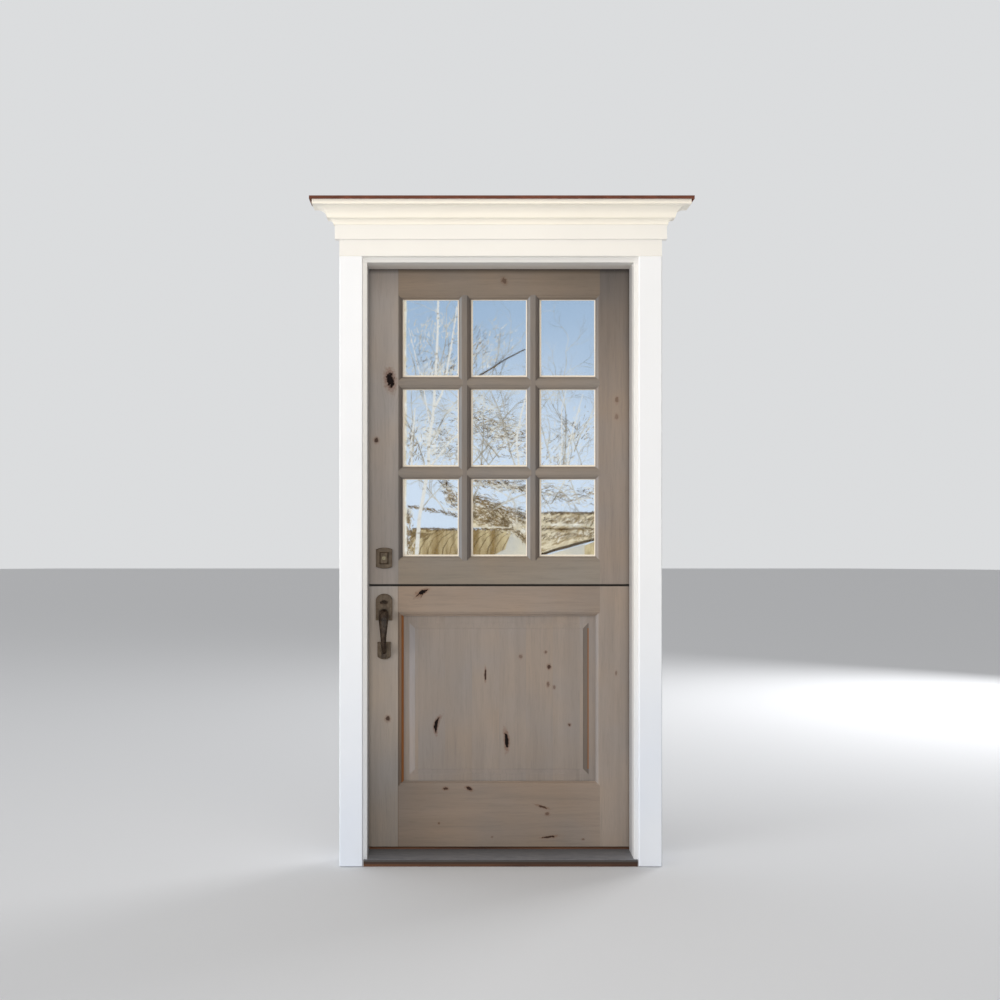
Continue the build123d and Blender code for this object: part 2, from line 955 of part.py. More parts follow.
def deadbolt_cylinder():
    """Cylinder that carries the key plug: a collar in the rose and a body behind it."""
    collar = on_lock(collar_radius, deadbolt_z, boss_face, leaf_face)
    body = on_lock(cylinder_radius, deadbolt_z, leaf_face, case_front - running_gap)
    return collar + body - on_lock(plug_radius + plug_fit, deadbolt_z, boss_face - 1, leaf_middle)


def key_plug():
    """Plug that turns in the cylinder, with a keyway in its face."""
    front = boss_face - plug_proud
    plug = on_lock(plug_radius, deadbolt_z, front, case_front - plug_proud)
    keyway = block(
        (lock_x - keyway_width / 2, lock_x + keyway_width / 2),
        (front, front + keyway_depth),
        (deadbolt_z - keyway_height / 2, deadbolt_z + keyway_height / 2),
    )
    return plug - keyway


def deadbolt():
    """Round bolt drawn back flush with the faceplate, its nose eased."""
    tip = -leaf_half
    end = tip + deadbolt_throw + deadbolt_tail
    bolt = rod(bolt_radius, (tip, leaf_middle, deadbolt_z), (end, leaf_middle, deadbolt_z))
    return chamfer(bolt.faces().sort_by(Axis.X)[0].edges(), bolt_edge)


def inside_rose(z):
    """Round plate with a turned edge, and a hole that the spindle's hub turns in."""
    rose = on_lock(inside_rose_radius, z, leaf_back, inside_rose_face)
    rose = chamfer(rose.faces().sort_by(Axis.Y)[-1].edges(), inside_rose_edge)
    return rose - on_lock(turn_hub_radius + running_gap, z, leaf_back - 1, inside_rose_face + 1)


def thumbturn():
    """Turn piece: hub, waisted wing and the spindle that drives the bolt."""
    hub_back = inside_rose_face + turn_hub_rise
    hub = on_lock(turn_hub_radius, deadbolt_z, leaf_back, hub_back)
    half = turn_length / 2
    thin = turn_width / 2
    waist = thin * turn_waist
    foot = (lock_x - thin, deadbolt_z - half + thin)
    moves = [
        foot,
        ((lock_x, deadbolt_z - half), (lock_x + thin, deadbolt_z - half + thin)),
        ((lock_x + waist, deadbolt_z), (lock_x + thin, deadbolt_z + half - thin)),
        ((lock_x, deadbolt_z + half), (lock_x - thin, deadbolt_z + half - thin)),
        ((lock_x - waist, deadbolt_z), foot),
    ]
    wing = face_plate(moves, hub_back, inside_rose_face + turn_reach)
    return hub + wing + spindle(deadbolt_z)


# Latch and grip on the lower leaf

def latch_bolt():
    """Sprung bolt with its bevel towards the strike's outer side."""
    tip = -leaf_half - latch_throw
    tail = -leaf_half + latch_tail
    bolt = rod(bolt_radius, (tip, leaf_middle, latch_z), (tail, leaf_middle, latch_z))
    half = latch_side / 2
    low = latch_z - bolt_radius
    high = latch_z + bolt_radius
    sides = block((tip, tail), (leaf_middle - half, leaf_middle + half), (low, high))
    bevel_points = [
        (tip - 1, leaf_middle - half - 1),
        (-leaf_half, leaf_middle - half - 1),
        (-leaf_half, leaf_middle - half),
        (tip, leaf_middle + half - latch_nose),
        (tip - 1, leaf_middle + half - latch_nose),
    ]
    return (bolt & sides) - plan_bar(bevel_points, low - 1, high + 1)


def inside_knob():
    """Ball knob with a flat face on a waisted neck, and the spindle that draws the latch."""
    hub_end = inside_rose_face + knob_hub_rise
    neck_end = inside_rose_face + knob_neck_length
    middle = neck_end + sqrt(knob_radius**2 - knob_neck_radius**2)
    crown = middle + sqrt(knob_radius**2 - knob_face_radius**2)
    moves = [
        (0.0, leaf_back),
        (turn_hub_radius, leaf_back),
        (turn_hub_radius, hub_end),
        ((knob_neck_waist, (hub_end + neck_end) / 2), (knob_neck_radius, neck_end)),
        ((knob_radius, middle), (knob_face_radius, crown)),
        (0.0, crown),
    ]
    face = outline(moves, lambda r, y: (lock_x + r, y, latch_z))
    return revolve(face, axis=Axis((lock_x, 0, latch_z), (0, 1, 0))) + spindle(latch_z)


def thumb_pin(radius):
    """Pin through the upper plate's slot, on which the thumb piece rocks."""
    half = thumb_pin_length / 2
    place = (thumb_pivot_y, thumb_pivot_z)
    return rod(radius, (lock_x - half, *place), (lock_x + half, *place))


def grip_top_plate():
    """Upper plate of the grip, arched at the top, with a slot for the thumb piece and its pin."""
    half = grip_plate_width / 2
    moves = arched_plate(lock_x, half, grip_plate_foot_z, grip_plate_top_z, 0.0, grip_plate_arch)
    plate = face_plate(moves, leaf_face - grip_plate_thick, leaf_face)
    plate = chamfer(plate.faces().sort_by(Axis.Y)[0].edges(), rose_edge)
    slot_half = thumb_bar_width / 2 + running_gap
    slot = block(
        (lock_x - slot_half, lock_x + slot_half),
        (leaf_face - grip_plate_thick - 1, leaf_face + 1),
        (thumb_pivot_z - thumb_slot_height / 2, thumb_pivot_z + thumb_slot_height / 2),
    )
    return cut(plate, slot, thumb_pin(thumb_pin_radius + thumb_pin_fit))


def thumb_piece():
    """Thumb lever on its pin: a dished pad outside, and a tongue that lifts the latch inside."""
    bar_half = thumb_bar_width / 2
    thick_half = thumb_bar_thick / 2
    pad_start = grip_plate_thick / 2 + thumb_pad_stand_off
    lever_start = -pad_start - thumb_pad_lap
    lever = block((-bar_half, bar_half), (lever_start, thumb_tongue), (-thick_half, thick_half))
    pad = extrude(Ellipse(thumb_pad_width / 2, thumb_pad_length / 2), amount=thumb_pad_thick)
    pad_middle = -pad_start - thumb_pad_length / 2
    pad = Pos(0, pad_middle, -thick_half) * Rot(thumb_pad_tilt, 0, 0) * pad
    return Pos(lock_x, thumb_pivot_y, thumb_pivot_z) * (lever + pad) + thumb_pin(thumb_pin_radius)


def grip_stations():
    """Places, widths, thicknesses and turns of the grip's sections, from its top to its foot."""
    stations = []
    for datum, sections in ((grip_plate_foot_z, grip_upper_sections), (foot_boss_z, grip_lower_sections)):
        for out, rise, width, thick, turn in sections:
            stations.append((leaf_face - grip_plate_thick - out, datum + rise, width, thick, turn))
    return stations


def grip_handle():
    """Cast bow of the grip: a swelling top that thins towards its foot, in one smooth skin."""
    faces = []
    for y, z, width, thick, turn in grip_stations():
        heading = radians(turn)
        plane = Plane((lock_x, y, z), x_dir=(1, 0, 0), z_dir=(0, -cos(heading), -sin(heading)))
        faces.append(plane * Ellipse(width / 2, thick / 2))
    bow = loft(faces)
    foot_face = leaf_face - grip_plate_thick
    boss = block(
        (lock_x - foot_boss_width / 2, lock_x + foot_boss_width / 2),
        (foot_face - foot_boss_rise, foot_face),
        (foot_boss_foot_z, foot_boss_top_z),
    )
    return bow + boss


def grip_foot_plate():
    """Lower plate of the grip, arched at the foot."""
    half = foot_plate_width / 2
    side_foot_z = foot_plate_foot_z + foot_plate_arch
    moves = [
        (lock_x - half, side_foot_z),
        ((lock_x, foot_plate_foot_z), (lock_x + half, side_foot_z)),
        (lock_x + half, foot_plate_top_z),
        (lock_x - half, foot_plate_top_z),
    ]
    plate = face_plate(moves, leaf_face - grip_plate_thick, leaf_face)
    return chamfer(plate.faces().sort_by(Axis.Y)[0].edges(), rose_edge)


# Quadrant stay

def quadrant_plate():
    """Back plate of the stay with the post that its arm turns on."""
    half = quadrant_plate_size / 2
    front = leaf_back
    back = leaf_back + quadrant_plate_thick
    plate = block((-half, half), (front, back), (-half, half))
    post_end = quadrant_arm_back + running_gap
    cap_radius = quadrant_post_radius + quadrant_cap_overhang
    post = rod(quadrant_post_radius, (0, front, 0), (0, post_end, 0))
    cap = rod(cap_radius, (0, post_end, 0), (0, post_end + quadrant_cap_thick, 0))
    return Pos(quadrant_x, 0, quadrant_z) * (plate + post + cap)


def quadrant_arm():
    """Arm of the stay, lying level at rest. It turns down into the keeper to join the leaves."""
    root = quadrant_arm_root
    tip = quadrant_arm_tip
    end = quadrant_arm_length - tip
    moves = [(0.0, -root), (end, -tip), ((quadrant_arm_length, 0.0), (end, tip)), (0.0, root)]
    arm = face_plate(moves, quadrant_arm_y, quadrant_arm_back)
    hub = rod(root, (0, quadrant_arm_y, 0), (0, quadrant_arm_back, 0))
    place = quadrant_grip_place
    grip_end = quadrant_arm_back + quadrant_grip_rise
    grip = rod(quadrant_grip_radius, (place, quadrant_arm_back, 0), (place, grip_end, 0))
    grip = chamfer(grip.faces().sort_by(Axis.Y)[-1].edges(), quadrant_grip_edge)
    hole = rod(quadrant_post_radius + running_gap, (0, quadrant_arm_y - 1, 0), (0, quadrant_arm_back + 1, 0))
    return Pos(quadrant_x, 0, quadrant_z) * cut(arm + hub + grip, hole)


def quadrant_keeper():
    """Keeper on the lower leaf: a back, a side wall and a cheek that the arm swings in behind."""
    half = keeper_width / 2
    top = lower_top_z - keeper_drop
    foot = top - keeper_height
    left = quadrant_x - half
    right = quadrant_x + half
    cheek_y = quadrant_arm_back + keeper_gap
    cheek_back = cheek_y + keeper_cheek
    back = block((left, right), (leaf_back, leaf_back + keeper_back), (foot, top))
    cheek = block((left, right), (cheek_y, cheek_back), (foot, top))
    wall = block((left, left + keeper_wall), (leaf_back, cheek_back), (foot, top))
    floor_top = quadrant_z - quadrant_arm_length - keeper_floor_gap
    floor = block((left, right), (leaf_back, cheek_back), (foot, floor_top))
    return back + cheek + wall + floor


# Leaves

def upper_frame():
    """Stiles, rails and glazing bars of the upper leaf, each coped over the ones it meets."""
    stile_section = glazed_section(stile_flat)
    lock_stile = stile(stile_section, -1, upper_foot_z, upper_top_z)
    hinge_stile = stile(stile_section, 1, upper_foot_z, upper_top_z)
    stiles = (lock_stile, hinge_stile)
    top = rail(glazed_section(upper_top_flat), upper_top_z, -1, stiles)
    bottom = rail(glazed_section(upper_bottom_flat), upper_foot_z, 1, stiles)
    uprights = []
    for index in range(1, light_columns):
        x = first_pane_x + (index - 0.5) * column_pitch
        place = lambda u, d: (x + u, leaf_face + d, lights_foot_z)
        blank = bar(muntin_section(), place, z_axis * (lights_top_z - lights_foot_z))
        uprights.append(cut(blank, top, bottom))
    bars = []
    for row in range(1, light_rows):
        z = first_pane_z + (row - 0.5) * row_pitch
        place = lambda u, d: (-opening_half, leaf_face + d, z + u)
        blank = bar(muntin_section(), place, x_axis * (2 * opening_half))
        bars.extend(cut(blank, lock_stile, hinge_stile, *uprights).solids())
    kerf = meeting_kerf()
    mortises = [hinge_mortise(z, -1) for z in hinge_heights[2:]]
    lock_stile = cut(lock_stile, kerf, *lock_bores(deadbolt_z))
    hinge_stile = cut(hinge_stile, kerf, *mortises)
    bottom = cut(bottom, kerf)
    return lock_stile, hinge_stile, top, bottom, uprights, bars


def meeting_kerf():
    """Slot along the upper leaf's foot for the meeting seal's barb."""
    half = kerf_width / 2
    return block(
        (-leaf_half, leaf_half),
        (leaf_middle - half, leaf_middle + half),
        (upper_foot_z, upper_foot_z + kerf_depth),
    )


def meeting_seal():
    """Strip between the leaves, held by its barb in the upper one."""
    barb = meeting_kerf()
    foot = lower_top_z + running_gap
    wide = seal_width / 2
    bulb = side_bar(
        [
            (leaf_middle - wide, upper_foot_z),
            ((leaf_middle, foot), (leaf_middle + wide, upper_foot_z)),
        ],
        -leaf_half,
        leaf_half,
    )
    return barb + bulb


def pane_centres():
    """Middle of each light, row by row from the top."""
    rows = []
    for row in reversed(range(light_rows)):
        z = first_pane_z + row * row_pitch
        rows.append([(first_pane_x + column * column_pitch, z) for column in range(light_columns)])
    return rows


def glass_unit(x, z):
    """Sealed double glass unit, bedded against the moulding."""
    half_width = pane_width / 2 + stick_width - glass_clearance
    half_height = pane_height / 2 + stick_width - glass_clearance
    front = leaf_face + stick_depth
    back = front + glass_thick
    return block((x - half_width, x + half_width), (front, back), (z - half_height, z + half_height))


def glazing_beads(x, z):
    """Four mitred strips that hold one glass unit from inside."""
    front = leaf_face + stick_depth + glass_thick
    half_width = pane_width / 2 + stick_width - bead_clearance
    half_height = pane_height / 2 + stick_width - bead_clearance
    strip = stick_width - bead_clearance
    ring = block((x - half_width, x + half_width), (front, leaf_back), (z - half_height, z + half_height))
    sight = block(
        (x - half_width + strip, x + half_width - strip),
        (front - 1, leaf_back + 1),
        (z - half_height + strip, z + half_height - strip),
    )
    inner = Plane((x, leaf_back - bead_chamfer, z), x_dir=(1, 0, 0), z_dir=(0, 1, 0))
    splay = loft([
        inner * Rectangle(pane_width, pane_height),
        inner.offset(bead_chamfer) * Rectangle(pane_width + 2 * bead_chamfer, pane_height + 2 * bead_chamfer),
    ])
    ring = cut(ring, sight, splay)
    corner = half_height - half_width
    strips = []
    for side in (-1, 1):
        level = [
            (x - half_width, z + side * half_height),
            (x + half_width, z + side * half_height),
            (x, z + side * corner),
        ]
        upright = [
            (x + side * half_width, z - half_height),
            (x + side * half_width, z + half_height),
            (x, z + corner),
            (x, z - corner),
        ]
        strips.append(ring & face_plate(level, front, leaf_back))
        strips.append(ring & face_plate(upright, front, leaf_back))
    return strips


def lower_frame():
    """Stiles and rails of the lower leaf, grooved for the panel."""
    stile_section = panelled_section(stile_flat)
    lock_stile = stile(stile_section, -1, leaf_bottom_z, lower_top_z)
    hinge_stile = stile(stile_section, 1, leaf_bottom_z, lower_top_z)
    stiles = (lock_stile, hinge_stile)
    top = rail(panelled_section(lower_top_flat), lower_top_z, -1, stiles)
    bottom = rail(panelled_section(lower_bottom_flat), leaf_bottom_z, 1, stiles)
    mortises = [hinge_mortise(z, -1) for z in hinge_heights[:2]]
    return cut(lock_stile, *lock_bores(latch_z)), cut(hinge_stile, *mortises), top, bottom


def raised_panel():
    """Solid panel with a field raised on both faces and a tongue in the grooves."""
    reach = groove_depth - stick_width - panel_expansion
    half_width = opening_half + reach
    foot = panel_foot_z - reach
    top = panel_top_z + reach
    middle_z = (foot + top) / 2
    height = top - foot
    tongue = panel_tongue / 2
    panel = block((-half_width, half_width), (leaf_middle - tongue, leaf_middle + tongue), (foot, top))
    inset = reach + stick_width + panel_margin
    bevel_rise = panel_thick / 2 - panel_step - tongue
    for side in (-1, 1):
        base = Plane((0, leaf_middle + side * tongue, middle_z), x_dir=(1, 0, 0), z_dir=(0, side, 0))
        wide = 2 * (half_width - inset)
        tall = height - 2 * inset
        field = base.offset(bevel_rise) * Rectangle(wide - 2 * panel_bevel, tall - 2 * panel_bevel)
        panel = panel + loft([base * Rectangle(wide, tall), field]) + extrude(field, amount=panel_step)
    return panel


def bottom_sweep():
    """Finned strip under the lower leaf that brushes the riser."""
    half = sweep_width / 2
    pitch = sweep_width / sweep_fins
    base_z = leaf_bottom_z - sweep_base
    tip_z = leaf_bottom_z - sweep_height
    points = [(leaf_middle - half, leaf_bottom_z), (leaf_middle - half, base_z)]
    for fin in range(sweep_fins):
        middle = leaf_middle - half + (fin + 0.5) * pitch
        points.append((middle - sweep_fin_width / 2, base_z))
        points.append((middle, tip_z))
        points.append((middle + sweep_fin_width / 2, base_z))
    points.append((leaf_middle + half, base_z))
    points.append((leaf_middle + half, leaf_bottom_z))
    return side_bar(points, -leaf_half, leaf_half)


# Build and write every node

def build_frame():
    """Jambs, stops, sill, trim, strikes and the fixed half of the hinges."""
    strike_rooms = strike_cutters(deadbolt_z, jamb_thick) + strike_cutters(latch_z, latch_pocket_depth)
    save("jamb_strike", cut(jamb_leg(-1), *strike_rooms))
    save("jamb_hinge", cut(jamb_leg(1), *[hinge_mortise(z, 1) for z in hinge_heights]))
    save("jamb_head", jamb_head())
    save("stop_strike", stop_leg(-1))
    save("stop_hinge", stop_leg(1))
    save("stop_head", stop_head())
    save("reveal_lining", *reveal_lining())
    save("frame_seals", *frame_seals())
    save("sill_base", sill_base())
    save("sill_deck", sill_deck())
    save("sill_riser", sill_riser())
    save("casing_left", casing_leg(-1))
    save("casing_right", casing_leg(1))
    save("casing_head", casing_head())
    save("frieze_board", frieze_board())
    save("bed_moulding", bed_moulding())
    save("crown_moulding", crown_moulding())
    save("drip_cap", drip_cap())
    save("deadbolt_strike", strike_plate(deadbolt_z, 0.0))
    save("latch_strike", strike_plate(latch_z, strike_lip_reach))
    save("hinge_frame_leaves", *[hinge_leaf(z, 1) for z in hinge_heights])
    save("hinge_pins", *[hinge_pin(z) for z in hinge_heights])


def build_upper_leaf():
    """Glazed leaf with its deadbolt."""
    lock_stile, hinge_stile, top, bottom, uprights, bars = upper_frame()
    save("upper_stile_lock", lock_stile)
    save("upper_stile_hinge", hinge_stile)
    save("upper_top_rail", top)
    save("upper_bottom_rail", bottom)
    for name, upright in zip(("muntin_left", "muntin_right"), uprights):
        save(name, upright)
    save("muntin_bars", *bars)
    beads = []
    for name, centres in zip(("top", "middle", "bottom"), pane_centres()):
        save(f"glass_row_{name}", *[glass_unit(x, z) for x, z in centres])
        for x, z in centres:
            beads.extend(glazing_beads(x, z))
    save("glazing_beads", *beads)
    save("meeting_seal", meeting_seal())
    save("upper_hinge_leaves", *[hinge_leaf(z, -1) for z in hinge_heights[2:]])
    save("deadbolt_rose_outside", deadbolt_rose_outside())
    save("deadbolt_cylinder", deadbolt_cylinder())
    save("key_plug", key_plug())
    save("deadbolt_case", lock_case(deadbolt_z))
    save("deadbolt", deadbolt())
    save("deadbolt_rose_inside", inside_rose(deadbolt_z))
    save("thumbturn", thumbturn())
    save("quadrant_plate", quadrant_plate())
    save("quadrant_arm", quadrant_arm())


def build_lower_leaf():
    """Panelled leaf with its latch, grip and knob."""
    lock_stile, hinge_stile, top, bottom = lower_frame()
    save("lower_stile_lock", lock_stile)
    save("lower_stile_hinge", hinge_stile)
    save("lower_top_rail", top)
    save("lower_bottom_rail", bottom)
    save("raised_panel", raised_panel())
    save("bottom_sweep", bottom_sweep())
    save("lower_hinge_leaves", *[hinge_leaf(z, -1) for z in hinge_heights[:2]])
    save("latch_case", lock_case(latch_z))
    save("latch_bolt", latch_bolt())
    save("grip_top_plate", grip_top_plate())
    save("thumb_piece", thumb_piece())
    save("grip_handle", grip_handle())
    save("grip_foot_plate", grip_foot_plate())
    save("knob_rose_inside", inside_rose(latch_z))
    save("inside_knob", inside_knob())
    save("quadrant_keeper", quadrant_keeper())


os.makedirs("parts", exist_ok=True)
build_frame()
build_upper_leaf()
build_lower_leaf()
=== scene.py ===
import json
from math import cos, pi, radians, sin
from random import Random

import bmesh
import bpy
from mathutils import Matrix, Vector

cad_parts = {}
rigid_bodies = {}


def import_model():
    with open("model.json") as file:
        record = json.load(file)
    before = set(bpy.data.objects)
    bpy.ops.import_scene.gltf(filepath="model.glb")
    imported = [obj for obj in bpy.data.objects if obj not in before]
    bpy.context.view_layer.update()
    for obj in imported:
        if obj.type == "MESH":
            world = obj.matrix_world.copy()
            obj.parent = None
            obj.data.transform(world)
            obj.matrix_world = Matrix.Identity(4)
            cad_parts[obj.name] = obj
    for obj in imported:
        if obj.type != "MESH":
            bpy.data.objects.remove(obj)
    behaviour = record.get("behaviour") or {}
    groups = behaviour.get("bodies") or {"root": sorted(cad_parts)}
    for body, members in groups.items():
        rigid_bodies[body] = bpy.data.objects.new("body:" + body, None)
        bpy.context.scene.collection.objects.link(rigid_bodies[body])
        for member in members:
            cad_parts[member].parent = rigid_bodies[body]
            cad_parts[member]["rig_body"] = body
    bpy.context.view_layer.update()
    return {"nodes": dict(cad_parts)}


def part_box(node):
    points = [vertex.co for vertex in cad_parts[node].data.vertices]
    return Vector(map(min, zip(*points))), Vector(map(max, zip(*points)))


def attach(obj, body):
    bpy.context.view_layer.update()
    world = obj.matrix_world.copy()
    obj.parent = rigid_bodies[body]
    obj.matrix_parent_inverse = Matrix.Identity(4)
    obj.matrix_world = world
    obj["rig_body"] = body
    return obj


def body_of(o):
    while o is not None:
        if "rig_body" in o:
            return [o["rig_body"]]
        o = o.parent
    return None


# Looks of the stable door: stained knotty wood, white trim, dark bronze fittings and reflecting lights.
# Metres, in the frame of the solids: X right and Z up seen from outside, Y into the house.

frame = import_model()
nodes = frame["nodes"]


# Places taken from the solids

stile_low, stile_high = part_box("lower_stile_lock")
leaf_face = stile_low.y
leaf_back = stile_high.y
leaf_middle = (leaf_face + leaf_back) / 2
leaf_left = stile_low.x
leaf_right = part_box("lower_stile_hinge")[1].x
lower_leaf_top = stile_high.z
upper_low, upper_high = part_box("upper_stile_lock")
upper_leaf_foot = upper_low.z
upper_leaf_top = upper_high.z
jamb_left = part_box("jamb_strike")[1].x
jamb_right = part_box("jamb_hinge")[0].x
glass_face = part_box("glass_row_top")[0].y
sight_left = upper_high.x
sight_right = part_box("upper_stile_hinge")[0].x
panel_sight_left = stile_high.x
panel_sight_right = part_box("lower_stile_hinge")[0].x
panel_sight_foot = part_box("lower_bottom_rail")[1].z
panel_sight_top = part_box("lower_top_rail")[0].z


# Photograph's viewpoint

camera_x = -0.180
camera_z = 1.122
view_distance = 4.784
camera_y = leaf_face - view_distance
frame_pixels = 1000.0
focal_pixels = 1387.0
sensor_width = 36.0
axis_pixel_x = 447.0
axis_pixel_y = 532.0


def add_camera():
    """Level camera in front of the door, shifted as the view's own axis lies off the middle."""
    data = bpy.data.cameras.new("camera")
    data.sensor_width = sensor_width
    data.lens = sensor_width * focal_pixels / frame_pixels
    data.shift_x = (frame_pixels / 2 - axis_pixel_x) / frame_pixels
    data.shift_y = (axis_pixel_y - frame_pixels / 2) / frame_pixels
    data.clip_end = 200.0
    camera = bpy.data.objects.new("camera", data)
    camera.location = (camera_x, camera_y, camera_z)
    camera.rotation_euler = (radians(90), 0, 0)
    bpy.context.scene.collection.objects.link(camera)
    bpy.context.scene.camera = camera


# Material helpers

class Surface:
    """A material under construction, with short calls for the nodes it is made of."""

    def __init__(self, name):
        self.material = bpy.data.materials.new(name)
        self.material.use_nodes = True
        self.tree = self.material.node_tree
        self.shader = self.tree.nodes["Principled BSDF"]
        self.coordinates = self.node("ShaderNodeTexCoord", {}).outputs
        self.place = self.coordinates["Object"]

    def node(self, kind, inputs, **settings):
        """New node with settings, and outputs or values on its inputs."""
        made = self.tree.nodes.new(kind)
        for key, value in settings.items():
            setattr(made, key, value)
        for key, value in inputs.items():
            self.feed(made.inputs[key], value)
        return made

    def feed(self, socket, value):
        """Joins an output to a socket, or sets the socket to a value."""
        if isinstance(value, bpy.types.NodeSocket):
            self.tree.links.new(value, socket)
        else:
            socket.default_value = value

    def vector(self, operation, a, b=(0.0, 0.0, 0.0)):
        second = "Scale" if operation == "SCALE" else 1
        made = self.node("ShaderNodeVectorMath", {0: a, second: b}, operation=operation)
        return made.outputs["Value" if operation == "LENGTH" else "Vector"]

    def stretched(self, *amounts):
        """Place with each axis multiplied by its own amount."""
        return self.vector("MULTIPLY", self.place, amounts)

    def math(self, operation, a, b=0.0):
        return self.node("ShaderNodeMath", {0: a, 1: b}, operation=operation).outputs[0]

    def parts(self, vector):
        return self.node("ShaderNodeSeparateXYZ", {0: vector}).outputs

    def noise(self, vector, scale, detail, rough, warp=0.0):
        inputs = {"Vector": vector, "Scale": scale, "Detail": detail, "Roughness": rough, "Distortion": warp}
        return self.node("ShaderNodeTexNoise", inputs).outputs["Fac"]

    def span(self, value, low, high, start=0.0, end=1.0, smooth=False):
        """Value carried from one range to another, held at its ends."""
        inputs = {"Value": value, "From Min": low, "From Max": high, "To Min": start, "To Max": end}
        kind = "SMOOTHSTEP" if smooth else "LINEAR"
        return self.node("ShaderNodeMapRange", inputs, interpolation_type=kind).outputs["Result"]

    def blend(self, amount, first, second, mode="MIX"):
        inputs = {"Factor": amount, "A": first, "B": second}
        return self.node("ShaderNodeMix", inputs, data_type="RGBA", blend_type=mode).outputs["Result"]

    def inside(self, low, high):
        """Mask of a box in the object's own space."""
        mask = 1.0
        for axis, low_end, high_end in zip(self.parts(self.place), low, high):
            mask = self.math("MULTIPLY", mask, self.math("GREATER_THAN", axis, low_end))
            mask = self.math("MULTIPLY", mask, self.math("LESS_THAN", axis, high_end))
        return mask

    def bump(self, height, strength, distance):
        made = self.node("ShaderNodeBump", {"Strength": strength, "Distance": distance, "Height": height})
        self.feed(self.shader.inputs["Normal"], made.outputs["Normal"])

    def finish(self, color, rough, metal=0.0):
        self.feed(self.shader.inputs["Base Color"], color)
        self.feed(self.shader.inputs["Roughness"], rough)
        self.shader.inputs["Metallic"].default_value = metal
        return self.material


def linear(red, green, blue):
    """Colour from its values on screen, 0 to 255."""
    made = []
    for value in (red, green, blue):
        share = value / 255
        made.append(share / 12.92 if share <= 0.04045 else ((share + 0.055) / 1.055) ** 2.4)
    return (*made, 1.0)


def shaded(color, share):
    """The same colour, darker or lighter."""
    return tuple(value * share for value in color[:3]) + (1.0,)


def paint(material, *names):
    """Gives the solids' nodes a material."""
    for name in names:
        data = nodes[name].data
        data.materials.clear()
        data.materials.append(material)


# Wood

# Knots on the outer face: place across, height, half width, half height, darkness, tilt in degrees and bend.
knots = (
    (-0.376, 1.646, 0.012, 0.024, 1.0, 8, 0.0),
    (-0.424, 1.438, 0.006, 0.007, 0.8, 0, 0.0),
    (0.017, 1.988, 0.007, 0.009, 0.5, 20, 0.0),
    (0.406, 1.577, 0.005, 0.008, 0.4, 0, 0.0),
    (0.405, 1.520, 0.005, 0.007, 0.3, 0, 0.0),
    (-0.264, 0.915, 0.014, 0.006, 1.0, 28, 0.3),
    (-0.279, 0.906, 0.012, 0.002, 0.8, 42, 0.0),
    (-0.266, 0.904, 0.008, 0.0015, 0.6, 60, 0.0),
    (-0.052, 0.631, 0.0025, 0.016, 0.9, 0, 0.0),
    (0.070, 0.694, 0.005, 0.006, 0.4, 0, 0.0),
    (0.157, 0.709, 0.004, 0.004, 0.5, 0, 0.0),
    (0.168, 0.659, 0.0052, 0.0060, 0.8, 0, 0.0),
    (0.165, 0.598, 0.004, 0.007, 0.5, 0, 0.0),
    (0.186, 0.588, 0.004, 0.005, 0.4, 0, 0.0),
    (-0.222, 0.460, 0.0055, 0.020, 1.0, -14, -0.5),
    (0.022, 0.405, 0.0058, 0.024, 1.0, 5, 0.25),
    (0.239, 0.459, 0.004, 0.004, 0.7, 0, 0.0),
    (-0.384, 0.478, 0.006, 0.007, 0.8, -20, 0.0),
    (0.403, 0.635, 0.003, 0.006, 0.35, 0, 0.0),
    (-0.185, 0.237, 0.007, 0.0038, 0.8, 0, 0.0),
    (-0.104, 0.237, 0.009, 0.0046, 0.9, -25, 0.0),
    (0.149, 0.174, 0.016, 0.0030, 0.8, -18, 0.0),
    (0.166, 0.150, 0.006, 0.0048, 0.5, 0, 0.0),
    (0.170, 0.070, 0.018, 0.0028, 0.9, 6, -0.2),
    (-0.208, 0.118, 0.003, 0.003, 0.45, 0, 0.0),
    (-0.024, 0.070, 0.003, 0.003, 0.3, 0, 0.0),
    (0.289, 0.062, 0.004, 0.003, 0.4, 0, 0.0),
)

knot_heart = linear(20, 7, 3)
knot_brown = linear(82, 44, 28)
knot_rim = linear(112, 68, 42)
raw_wood = linear(150, 96, 52)
stave_width = 0.093
# A knot runs aslant through the leaf, by this much across and down for each step in,
# and it grows fainter between two depths.
knot_lean_across = 0.55
knot_lean_down = -0.35
knot_fade_start = 0.020
knot_fade_end = 0.035
knot_share_inside = 0.45
# Its edge, how ragged that is, and where its heart, rim and push on the grain end, in shares of its size
knot_edge = 1.0
knot_ragged = 0.5
heart_end = 1.2
rim_end = 2.4
rim_share = 0.55
push_start = 0.5
push_end = 4.5
push_share = 0.7


def knots_inside(name):
    """Knots whose middle lies on a node."""
    low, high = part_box(name)
    return [knot for knot in knots if low.x <= knot[0] <= high.x and low.z <= knot[1] <= high.z]


